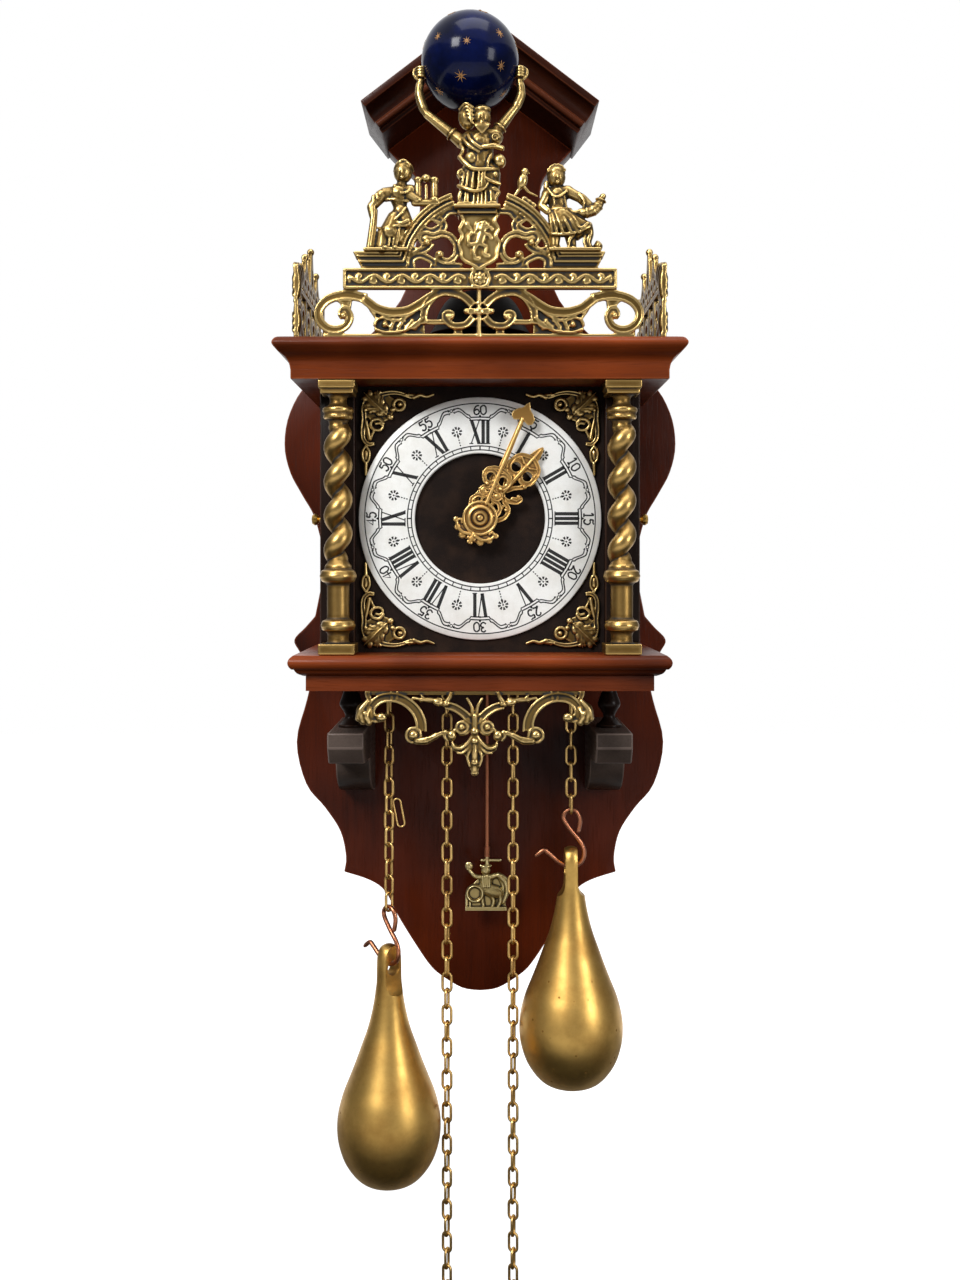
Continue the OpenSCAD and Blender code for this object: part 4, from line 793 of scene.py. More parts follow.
# ---- wooden case
eased_copy("back_board", 2.2, mahogany_up, "mahogany")
eased_copy("gable_mouldings", 0.7, mahogany_rake_painted_shade, "mahogany")
eased_copy("cornice", 0.8, mahogany_along, "mahogany")
eased_copy("base_board", 0.8, mahogany_along, "mahogany")
eased_copy("case_posts", 0.9, dark_post, "dark_wood")
eased_copy("brackets", 1.0, dark_oak_painted_light, "dark_wood")
eased_copy("bracket_balusters", 0.3, dark_post, "dark_wood", angle=50)
eased_copy("side_door_left", 0.6, mahogany_up, "mahogany", "left_door")
eased_copy("side_door_right", 0.6, mahogany_up, "mahogany", "right_door")


# ---- columns
TWIST_LENGTH, TWIST_PITCH, TWIST_OFFSET = 84, 21.2, 2.8


def column(x, name):
    """A twisted shaft between turned and square mouldings."""
    s = Shape()
    z0, d0, half = -352.4, 136.0, 11.2
    s.box(x - half, x + half, z0 + 0.3, z0 + 6.8, d0 - half, d0 + half)
    s.box(x - half, x + half, z0 + 164.2, z0 + 168.9, d0 - half, d0 + half)
    s.box(x - 10.2, x + 10.2, z0 + 160.8, z0 + 164.6, d0 - 10.2, d0 + 10.2)
    low = [(0, 5.5), (8.2, 6.4), (7.0, 7.6), (6.6, 9), (6.6, 12.6), (7.6, 14.2), (9.8, 15.2), (10.8, 18),
           (9.8, 20.8), (7.6, 21.8), (6.9, 22.6), (6.9, 43.4), (7.8, 44.2), (10.2, 45.4), (11.6, 48.6),
           (10.4, 51.8), (8.3, 53), (8.2, 55), (7.4, 56), (6, 58.4), (0, 59)]
    s.turned((x, z0, d0), low, 48)
    top = [(0, 139), (5.2, 140), (5.6, 143), (6.2, 145.2), (8.6, 145.9), (9.3, 147.3), (8.7, 148.9),
           (9.0, 149.5), (9.8, 151.2), (9.2, 152.9), (6.4, 153.9), (5.3, 155.6), (5.2, 157.6), (5.8, 159.8),
           (7.6, 161.2), (0, 161.6)]
    s.turned((x, z0, d0), top, 48)
    rows, n = [], 220
    for i in range(n + 1):
        a = math.radians(60) + 2 * math.pi * TWIST_LENGTH * i / n / TWIST_PITCH
        off = TWIST_OFFSET * min(1.0, i / 12, (n - i) / 12)
        rows.append((x + off * math.cos(a), z0 + 57 + TWIST_LENGTH * i / n, d0 - off * math.sin(a)))
    s.tube(rows, 6.2, 1.0, 28)
    casting(s, name + "_brass", name, column_brass, 0.6, depth=0.48)


column(-88.0, "column_left")
column(88.0, "column_right")


# ---- brass crest on the cornice
CREST_D = 143.5


def crest_scrolls():
    """Left half of the scrollwork under the banner."""
    s = Shape()
    low, top = CREST_D, CREST_D + 3.0
    s.band(spline([(-69.7, -133.6), (-78.3, -131.8), (-86.1, -131.9), (-93.2, -134.4), (-97.5, -138.6),
                   (-99, -143.2), (-97.6, -148.1), (-93.5, -151.8), (-88.2, -152.8), (-83.2, -151.2),
                   (-80.4, -147.8), (-79.7, -144.3), (-81.5, -141.2), (-83.9, -140.7), (-85, -143.2),
                   (-83.7, -145.2)], 5), (5.8, 4.0), low, top - 0.2, 0.62)
    s.plate([(-91, -133), (-80, -132.6), (-78.6, -136), (-79.6, -142.4), (-83.6, -140.6), (-86, -136.5)], low,
            top - 0.2)
    s.ball((-83.7, -144.4, top), 2.1)
    s.plate([(-70.6, -133.2), (-61, -139.0), (-54, -141.4), (-45.7, -140.5), (-37, -136.2), (-28, -131.4),
             (-33.2, -139), (-34.6, -145), (-39.1, -149), (-44.8, -154), (-44.8, -157.8), (-64.5, -157.8),
             (-63.8, -147.4), (-65.4, -143.2), (-69.4, -138)], low, top - 1.3)
    s.band(spline([(-71.4, -133.8), (-68.3, -136.2), (-63.3, -139.8), (-56.2, -141.9), (-49.8, -142.1),
                   (-43.4, -140.9), (-37, -137.4), (-32, -134), (-26.6, -130.8)], 5), (5.4, 5.6), low,
           top + 0.2, 0.6)
    s.wire([(-64.6, -150), (-63.3, -147), (-59.1, -145.5), (-53.4, -147), (-48.4, -146.6), (-42, -143.4),
            (-37, -139.2)], top - 0.5, (1.1, 0.8))
    s.ball((-58.2, -149.6, top - 0.6), 2.0)
    s.wire([(-64, -152.6), (-58, -154.4), (-51, -154.2), (-44.8, -152.8), (-39.1, -148.6), (-34.9, -145.6)],
           top - 0.5, 1.05)
    for k in range(4):
        s.leaf((-55.4 + 4.6 * k, -152.4), 62 - 8 * k, 8.2, 4.8, top - 1.1, 1.3, 2)
    s.wire([(-62, -141), (-54, -144.4), (-46, -143.8), (-38.6, -140), (-33, -136)], top - 0.7, (1.0, 0.7))
    for k in range(3):
        s.tube([(-70 + 1.4 * k, -136.4 - 2.2 * k, top - 1.0), (-65.4 + 0.8 * k, -141 - 2.2 * k, top - 0.8)],
               0.9)
    s.band(spline([(-34.9, -147.4), (-33.8, -141.1), (-31.3, -135.8), (-27.1, -131.6), (-21.4, -129.8),
                   (-12.8, -131.2), (-7.9, -134.2), (-4.3, -138)], 5), (4.5, 4.7), low, top, 0.6)
    s.band(spline([(-4.2, -145), (-7.9, -149.1), (-12.1, -150.4), (-17.1, -150), (-20.7, -147.1),
                   (-21.7, -143.9), (-19.6, -142.3), (-17.1, -143.2), (-17.8, -145.5)], 5), (4.3, 3.0), low,
           top, 0.6)
    s.ball((-17.9, -145, top - 0.2), 1.7)
    s.band([(-35, -147.8), (-29, -148.2), (-22, -148)], 2.6, low, top - 0.4, 0.6)
    s.band([(-9, -141.6), (0, -141.6)], 3.0, low, top + 0.3, 0.75)
    s.ball((-8.6, -141.6, top + 0.2), 1.6)
    s.box(-96.5, -85, -158, -153.4, low, top - 0.9)
    s.box(-48, -34, -158, -150, low, top - 1.4)
    s.box(-16, -11, -158, -151.4, low, top - 1.0)
    return s


def banner(s):
    """Moulded label with a running vine between beaded ends and a round boss."""
    low, top = CREST_D - 1.0, CREST_D + 3.2
    s.box(-83.6, 83.6, -128, -115.4, low, top)
    for z in (-127.2, -116.2):
        s.tube([(-83, z, top + 0.5), (83, z, top + 0.5)], 0.95, 1.0, 8)
    for x in (-83, 83):
        s.tube([(x, -127.2, top + 0.5), (x, -116.2, top + 0.5)], 0.95, 1.0, 8)
    for side in (-1, 1):
        vine = [(side * x, -121.7 + 2.1 * math.sin((x - 9) * math.pi / 8.6), top + 0.25)
                for x in np.arange(10, 79, 0.9)]
        s.tube(vine, 0.95, 0.9, 8)
        for k in range(8):
            x = 13.3 + 8.6 * k
            up = 1 if k % 2 == 0 else -1
            s.leaf((side * x, -121.7 + 1.9 * up), (28 * side - 90) if up > 0 else (90 - 28 * side), 4.6, 3.6,
                   top + 0.2, 0.8, 2)
            s.tube(lifted(whorl((side * (x + 0.4), -121.7 - 1.5 * up), 1.6, 0.5, 90 * up, 90 * up + side * 330,
                                12), top + 0.25), 0.6)
            s.ball((side * (x + 4.3), -121.7 + 2.6 * up * 0.2, top + 0.2), 0.7)
        s.ball((side * 80, -121.7, top + 0.2), (1.1, 2.4, 0.7))
    s.hoop((0, -121.6), 5.6, top + 0.5, 1.0, 28)
    s.ball((0, -121.6, top), (4.4, 4.4, 1.5))
    for k in range(8):
        a = math.radians(45 * k)
        s.ball((2.6 * math.cos(a), -121.6 + 2.6 * math.sin(a), top + 1.0), (1.3, 0.75, 0.7), 45 * k)
    s.ball((0, -121.6, top + 1.2), 1.0)


def arch_and_shield(s):
    """Broken arch on moulded ledges, foliage and a shield with a small upright beast."""
    low, top = CREST_D, CREST_D + 3.0
    half = Shape()
    arch = whorl((0, -119.1), 48.5, 48.5, 180 - 4, 180 - 70, 30)
    half.ribbon(arch, 8.4, low, top - 0.7)
    half.plate([(-72.6, -115.8), (-46.4, -115.8), (-46.8, -110.4), (-74.4, -110.4)], low - 7, top - 0.6)
    half.plate([(-74.8, -111), (-46.8, -111), (-50.4, -107), (-75.6, -107)], low - 8, top)
    half.plate([(-76.8, -107.6), (-50, -107.6), (-51, -105), (-77.4, -105)], low - 8.6, top + 0.6)
    for r, t, z, x, d in ((52.1, 0.85, -105.7, -76.8, top + 0.4), (50.1, 0.8, -107.9, -75, top + 0.2),
                          (47.4, 0.8, -111, -74.2, top - 0.2), (45.2, 0.75, -114.6, -72.4, top - 0.4)):
        a0 = 180 - math.degrees(math.asin((z + 119.1) / r))
        run = [(x, z)] + whorl((0, -119.1), r, r, a0, 180 - 70, 30)
        half.tube(lifted(run, d), t, 1.2, 8)

    def curl(points, w=(4.4, 3.4), up=0.0):
        half.band(spline(points, 5), w, low, top - 0.6 + up, 0.75)
    curl([(-42, -114.5), (-41.6, -109.6), (-37, -107.4), (-32, -109), (-28.4, -111.6), (-29, -115)])
    curl([(-34, -99.2), (-35.6, -97), (-33.4, -94.6), (-28.6, -95.6), (-23.1, -94.2), (-17.7, -96),
          (-14.4, -101.5), (-15, -107.5), (-19, -110.8), (-23.1, -110.2), (-25.7, -107.6), (-25, -106)], up=0.4)
    half.ball((-32.4, -99.5, top - 0.2), 2.1)
    half.ball((-24.5, -106.7, top - 0.2), 2.4)
    curl([(-24.9, -85.6), (-22, -88.4), (-22.8, -91.4), (-24.4, -94.6)])
    curl([(-24.5, -85.8), (-21.8, -83), (-19, -80.6), (-12.6, -80.2)])
    curl([(-28.6, -111.4), (-21.8, -113.8), (-11, -113.6)])
    curl([(-43, -103.6), (-38.4, -104.6), (-33, -103.4), (-29.4, -99.8)])
    curl([(-36.6, -90.6), (-30, -92.6), (-24.6, -90)])
    half.leaf((-42, -106), 28, 8, 4, top - 0.8, 1.0, 2)
    half.leaf((-24, -88), 150, 7, 3.8, top - 0.8, 0.9, 2)
    half.mirrored(-0.4)
    s.add(half.points, half.faces)
    side = [(-12, -83), (-10.4, -86.4), (-11.9, -89.5), (-12.8, -92), (-11.2, -96), (-13.2, -100.2),
            (-11.9, -105.6), (-11.5, -109), (-8.6, -111.8), (-3.4, -114.2), (-0.6, -115.8)]
    rim = side + flip(side, -0.6)[::-1][1:] + [(6, -82), (-0.6, -81.4), (-7.4, -82)]
    run = spline(rim + rim[:1], 3)[:-1]
    s.plate([(float(q[0]), float(q[1])) for q in run], low, top + 1.4)
    s.tube(lifted(run, top + 1.4), 0.85, closed=True)
    d = top + 1.5
    s.ball((0.4, -97, d), (3.0, 5.6, 1.4), -18)
    s.ball((1.4, -91.6, d), (2.8, 3.2, 1.5))
    s.ball((2.6, -88, d + 0.3), (2.1, 1.9, 1.4))
    s.ball((4.4, -88.6, d + 0.2), (1.3, 0.9, 0.9))
    for k in range(5):
        s.tube([(0.6 - 0.5 * k, -87.4 - 0.9 * k, d + 0.6), (-1.8 - 0.3 * k, -88.6 - 1.4 * k, d + 0.3)], 0.5)
    for run in ([(2, -92.4), (5.4, -90.4), (7.4, -91.6)], [(1.6, -95), (5, -95), (6.8, -97)],
                [(-0.6, -100.6), (3.6, -102.6), (2.8, -107), (5.2, -107.8)],
                [(-1.6, -101), (-3.8, -104.8), (-3, -109.2), (-0.6, -109.6)],
                [(-2.2, -100.4), (-6.6, -101), (-7.2, -96.4), (-5, -93.4), (-7.6, -89.6)]):
        s.wire(run, d + 0.1, (1.15, 0.65), 4)
    s.ball((-7.6, -89, d), (1.0, 1.6, 0.8), 20)
    s.box(-15.6, 12, -79.6, -77, CREST_D - 12, CREST_D + 8)
    s.box(-13.6, 10.4, -82.4, -79.4, CREST_D - 11, CREST_D + 6)
    s.box(-11.4, 10, -86, -82, low, top + 1)
    s.tube([(-15.4, -78.2, CREST_D + 8), (11.8, -78.2, CREST_D + 8)], 1.0)
    s.tube([(-13.4, -82, CREST_D + 6), (10.2, -82, CREST_D + 6)], 0.7)


def perched_bird(s):
    """Little bird on the right of the arch."""
    s.ball((26, -62, 146.4), (3.1, 5.0, 2.6), -16)
    s.ball((27.3, -56.2, 146.6), 2.3)
    s.tube([(28.4, -56.6, 146.8), (30.4, -57.4, 147)], (0.8, 0.35))
    s.tube([(25, -65, 146), (22.4, -69, 145.8), (20.4, -71.4, 145.4)], (1.3, 0.8))
    s.tube([(26.6, -65, 146.4), (30, -69, 146.4), (34.8, -71, 146.2)], (1.0, 0.7))
    s.tube([(24.6, -60, 148), (24.2, -64.4, 147.8)], (0.7, 0.5))
    for k in range(3):
        s.ball((27.6 + 2.6 * k, -72.6 - 1.8 * k, 146), (2.4, 1.3, 1.2), -30)


def crest():
    """Scrollwork, banner, arch and bird in one casting, brighter on shield, banner and scrolls."""
    s = crest_scrolls()
    s.mirrored(-0.6)
    s.box(-96, 95, -158, -155.4, CREST_D - 2.4, CREST_D + 3)
    s.ball((-0.6, -141.6, CREST_D + 3), (2.8, 2.8, 1.8))
    s.tube([(-0.6, -143, CREST_D + 2.2), (-0.6, -157, CREST_D + 2.2)], 1.5)
    s.tube([(-0.6, -140, CREST_D + 2.2), (-0.6, -128, CREST_D + 2.2)], 1.3)
    banner(s)
    arch_and_shield(s)
    perched_bird(s)
    me = melted(s, "crest_casting", 0.62, rounds=4)
    tag = me.attributes["recess"].data
    for v in me.vertices:
        x, z, d = v.co.x / MM, v.co.z / MM, -v.co.y / MM
        if abs(x + 0.6) < 11 and -112 < z < -83 and d > CREST_D + 3.6:
            tag[v.index].value -= 0.85
        elif abs(x) < 82 and -126.4 < z < -117 and d > CREST_D + 2.6:
            tag[v.index].value -= 0.4
        elif z < -128.6 and d > CREST_D + 0.6:
            tag[v.index].value -= 0.3
    piece("crest_casting", me, "case", crest_brass, "aged_brass", "crest_fret")


def calm_face(s, x, z, d, r, turn=0.0):
    """A plain, even face on a head whose front lies at depth d."""
    s.tube([(x - 0.52 * r + turn, z + 0.22 * r, d - 0.25 * r), (x + turn, z + 0.26 * r, d - 0.02 * r),
            (x + 0.52 * r + turn, z + 0.22 * r, d - 0.25 * r)], 0.11 * r)
    s.tube([(x + turn, z + 0.2 * r, d - 0.02 * r), (x + turn, z - 0.16 * r, d + 0.12 * r)],
           (0.08 * r, 0.13 * r))
    for side in (-1, 1):
        s.ball((x + turn + side * 0.27 * r, z + 0.08 * r, d - 0.16 * r), (0.13 * r, 0.07 * r, 0.1 * r))
        s.ball((x + turn + side * 0.36 * r, z - 0.2 * r, d - 0.26 * r), 0.2 * r)
    s.tube([(x + turn - 0.2 * r, z - 0.4 * r, d - 0.12 * r), (x + turn, z - 0.39 * r, d - 0.05 * r),
            (x + turn + 0.2 * r, z - 0.4 * r, d - 0.12 * r)], 0.07 * r)
    s.ball((x + turn, z - 0.64 * r, d - 0.2 * r), 0.22 * r)


def atlas():
    """Bearded bearer with raised arms in a belted and draped tunic."""
    s = Shape()
    s.limb((0, -36, 138), 8.6, (0.5, -50, 139), 7.6)
    s.limb((-7, -34, 138), 5.4, (9, -32, 138), 5.6)
    s.limb((1.6, -28, 139), 3.6, (1.4, -23, 140), 4.2)
    s.ball((1.2, -21.6, 142), (5.6, 6.2, 5.8))
    calm_face(s, 1.2, -22.2, 147.6, 5.6)
    s.ball((1.2, -17.2, 141.6), (5.7, 3.6, 5.6))
    for k in range(9):
        x = -3.4 + 1.15 * k
        s.run([(x, -25.4 - 0.3 * abs(k - 4), 146.6 - 0.24 * abs(k - 4)), (1.2 + (x - 1.2) * 0.8, -28.4, 147.2),
               (1.2 + (x - 1.2) * 0.35, -32.6 + 0.35 * abs(k - 4), 146.4)], (0.75, 0.5), 4)
    s.ball((-8, -20.6, 139), (5.6, 7.6, 5.4), 8)
    for k in range(5):
        s.run([(-12.6 + 0.7 * k, -16 - 2.5 * k, 141), (-9 + 0.4 * k, -13.4 - 2.2 * k, 144.3),
               (-4.6, -16 - 2.4 * k, 145)], 0.85, 4)
    for side, sh, el, wr, hand in ((-1, (-10.8, -35.4, 138), (-32.8, -17.4, 136.6), (-36.8, 3.4, 135.6),
                                    (-36.6, 8.2, 135)), (1, (8.7, -31, 138), (21, -14.6, 136.6),
            (24.6, 3.4, 135.6), (24.8, 8.4, 135))):
        s.limb(sh, 3.7, el, 2.6)
        s.run([[(sh[i] * 0.2 + el[i] * 0.8) for i in range(3)], (el[0] + side * 1.2, el[1] + 1.6, el[2]),
               (wr[0] + side * 0.9, wr[1] - 8, wr[2]), wr], [2.5] * 6 + [2.9] * 5 + [2.6] * 3 + [2.3] * 2)
        mid = [(sh[i] * 0.35 + el[i] * 0.65) for i in range(3)]
        s.limb(sh, 4.3, [(sh[i] * 0.75 + el[i] * 0.25) for i in range(3)], 3.6)
        s.tube(whorl_around(sh, el, 0.3, 3.9), 0.7, closed=True)
        s.ball(mid, (2.9, 2.9, 2.9))
        s.ball(hand, (3.6, 3.9, 3.4))
        for k in range(4):
            z = hand[1] - 2.5 + 1.75 * k
            s.run([(hand[0] - 3.3, z, hand[2] + 0.8), (hand[0] - 1.2, z + 0.2, hand[2] + 3.4),
                   (hand[0] + 1.6, z + 0.1, hand[2] + 3.3), (hand[0] + 3.3, z, hand[2] + 1.0)], 0.8, 4)
        s.run([(hand[0] + side * 2.2, hand[1] - 3.6, hand[2] + 1.6),
               (hand[0] + side * 4.4, hand[1] - 1.2, hand[2] + 1.8),
               (hand[0] + side * 4.2, hand[1] + 2.0, hand[2] + 1.4)], (1.1, 0.85), 4)
    s.ball((9.4, -34.6, 141.4), (4.2, 4.0, 3.4))
    s.tube(lifted(whorl((9.4, -34.6), 2.6, 0.6, 0, 500, 18), 144.9), 0.6)
    s.run([(1.8, -41, 146.4), (8, -40.6, 147.2), (13.6, -41.2, 144.6)], 1.7)
    s.run([(-7, -33, 143), (-4.6, -38, 146.4), (0.6, -42, 147)], (1.5, 1.1))
    s.run([(-10.4, -33.6, 141), (-7.6, -39, 145.4), (-1, -44, 146.6)], (1.3, 0.9))
    s.run([(-12.4, -37, 140), (-10.4, -41.6, 143.6), (-11.8, -44.6, 142)], 1.2)
    s.ball((-5.2, -47, 143.6), (4.2, 4.4, 3.4))
    s.ball((12, -48.4, 142.4), (4.0, 4.6, 3.6), 20)
    s.run([(7, -45, 145.6), (5, -49.6, 147), (4.6, -53, 146.4)], 1.0, 4)
    s.run([(-12.4, -46, 142.6), (-9.4, -50.4, 145.6), (-4.6, -54.4, 147), (0.6, -55, 147.2), (7.4, -54.4, 146),
           (11, -53.6, 143)], (1.6, 1.1))
    s.tube(lifted(whorl((-11.2, -57.2), 2.6, 0.8, 90, 540, 18), 145), 0.95)
    s.ball((-11.2, -57.2, 143), (3.2, 3.2, 2.6))
    s.ball((9.4, -57.4, 144.6), 1.9)
    s.limb((-5, -55, 139), 7.4, (-5.6, -66, 139), 7.4)
    s.limb((5.4, -55, 139), 7.4, (5.2, -66, 139), 6.8)
    s.folds([(-9.6, -56, 145), (-2, -55.6, 147), (3, -56, 147)],
            [(-11.4, -66, 145), (-3, -68.4, 148), (2.6, -66, 147.4)], 6, 0.95, 0.8)
    s.run([(0.6, -58.4, 147), (5.4, -61.6, 147.6), (11.8, -63.2, 145)], (0.9, 1.3))
    s.run([(-13, -64.2, 144), (-8.6, -66.6, 147), (-3, -68.6, 148.2), (2.6, -66.4, 147.4), (5, -62, 147)],
          (1.4, 0.9))
    s.limb((-4.6, -64, 138.6), 6.6, (-5, -75, 139), 6.2)
    s.limb((4.6, -64, 138.6), 6.4, (5, -75, 139), 6.2)
    s.folds([(-8.6, -67, 145), (0, -68, 146), (8, -66.6, 145)],
            [(-9.4, -76.4, 146), (0, -76.6, 147), (8.4, -76.4, 146)], 8, 0.9, 0.3)
    s.run([(8.4, -66, 145), (11.2, -68.4, 144.6), (9, -72, 145), (10, -76.4, 145)], (1.6, 1.1))
    s.run([(-11.6, -67.6, 143), (-12.8, -71.4, 143), (-11.2, -76.4, 143)], (1.5, 1.2))
    s.box(-14, 10.5, -76.9, -74.6, 133, 147)
    casting(s, "atlas_casting", "atlas_figure", crest_brass, 0.46)


def whorl_around(a, b, t, r):
    """A ring square to the line from a to b at share t."""
    a, b = np.array(a, float), np.array(b, float)
    axis = (b - a) / np.linalg.norm(b - a)
    u = np.cross(axis, (0, 0, 1.0))
    u /= np.linalg.norm(u)
    v = np.cross(axis, u)
    c = a + (b - a) * t
    return [c + r * (u * math.cos(q) + v * math.sin(q)) for q in (2 * math.pi * k / 18 for k in range(18))]


def left_figure():
    """Seated figure in a long coat with a staff and two little pillars."""
    s = Shape()
    s.ball((-47.2, -56.4, 145), (5.9, 6.6, 5.8))
    calm_face(s, -47.4, -57.2, 150.4, 5.4, -0.3)
    s.ball((-46.8, -53.4, 144.4), (6.1, 4.4, 5.9))
    for k in range(7):
        a = math.radians(20 + 24 * k)
        s.run([(-46.8 + 2 * math.cos(a), -51.6 + 1.6 * math.sin(a), 149.6),
               (-46.8 + 5 * math.cos(a), -54 + 4.2 * math.sin(a), 147.4),
               (-46.8 + 6.2 * math.cos(a), -56.4 + 4 * math.sin(a), 144)], 0.7, 4)
    s.limb((-48, -62, 144), 3.0, (-48.4, -68, 144), 5)
    s.limb((-58.6, -69.6, 144), 4.4, (-42.6, -67.4, 144), 4.2)
    s.run([(-52.6, -64.6, 147.4), (-49.6, -68.8, 149), (-46.6, -70, 149.2), (-43, -67.6, 147.8)], 0.75)
    s.limb((-50, -69, 143.6), 6.4, (-49.4, -75, 143.6), 4.8)
    s.run([(-57.6, -73, 146.4), (-51, -73.6, 148), (-44, -74.6, 147)], 0.8)
    s.folds([(-56, -67.6, 147), (-50, -70.6, 149), (-44.6, -68.4, 147.6)],
            [(-56.6, -73, 146.6), (-50.6, -74, 148), (-44.6, -74.4, 147)], 5, 0.7)
    s.limb((-60.4, -70.4, 145), 3.9, (-66.4, -77.6, 146), 3.0)
    s.limb((-66.4, -77.6, 146), 3.0, (-65.6, -84, 147), 2.2)
    s.run([(-63.4, -70.6, 148), (-62.6, -73.4, 149)], 1.0, 3)
    s.run([(-65, -72, 147), (-65.4, -84, 147.6), (-66.6, -94, 147.4), (-68, -103.6, 147)], (1.7, 2.0))
    s.run([(-63.6, -80, 147), (-64.4, -92, 147), (-66, -104, 146.6)], (1.2, 1.0))
    s.limb((-49.4, -75, 143.6), 4.2, (-48.6, -80.6, 144), 4.6)
    s.limb((-44.6, -69.6, 145), 3.7, (-38.6, -73.4, 146.4), 2.7)
    for x in (-38, -27.9):
        s.turned((x, 0, 146), [(0, -74.2), (2.8, -74), (2.8, -72.6), (2.2, -72), (2.1, -63), (2.5, -62),
                               (2.7, -60.6), (2.2, -59.8), (0, -59.4)], 20)
    s.turned((-32.9, 0, 146), [(0, -74), (1.1, -73.8), (1.0, -64), (0, -63.6)], 12)
    s.ball((-32.9, -60.2, 146.2), (3.0, 2.6, 2.8))
    s.limb((-40.2, -75.2, 146), 2.2, (-26, -75.2, 146), 2.2)
    s.limb((-48.8, -80, 144), 5.2, (-44.8, -88, 146), 4.2)
    s.run([(-45.4, -78.6, 147.6), (-48, -82.4, 149.6), (-52.4, -86.6, 149)], 0.95)
    s.run([(-52.4, -87.4, 148.4), (-47.6, -88.4, 150), (-43.6, -86.6, 149.4)], 1.1)
    s.limb((-52, -84.6, 144), 5.6, (-54.6, -93, 144), 7.4)
    s.limb((-49, -88, 144), 4.6, (-50.4, -97, 144.6), 5.6)
    s.run([(-62, -90.6, 146), (-57.6, -92, 148.8), (-52, -90.4, 150), (-45, -90, 149.6)], 0.95)
    s.folds([(-60.4, -92, 147.6), (-54, -91.6, 149.4), (-49, -91, 149.6)],
            [(-63, -103.4, 147.4), (-56, -103.6, 149), (-51.4, -103.6, 149)], 5, 1.0, 0.3)
    s.limb((-58.6, -94, 144), 5.2, (-60, -103, 145), 4.6)
    s.limb((-52, -94, 144.4), 5.2, (-52, -103, 145), 4.2)
    s.ball((-57.6, -103.6, 150.4), (2.1, 1.3, 2.4))
    s.ball((-51.6, -103.6, 150.4), (2.1, 1.3, 2.4))
    s.box(-71, -44.4, -105.4, -103.6, 136.4, 151.6)
    casting(s, "left_figure_casting", "left_figure", crest_brass, 0.46)


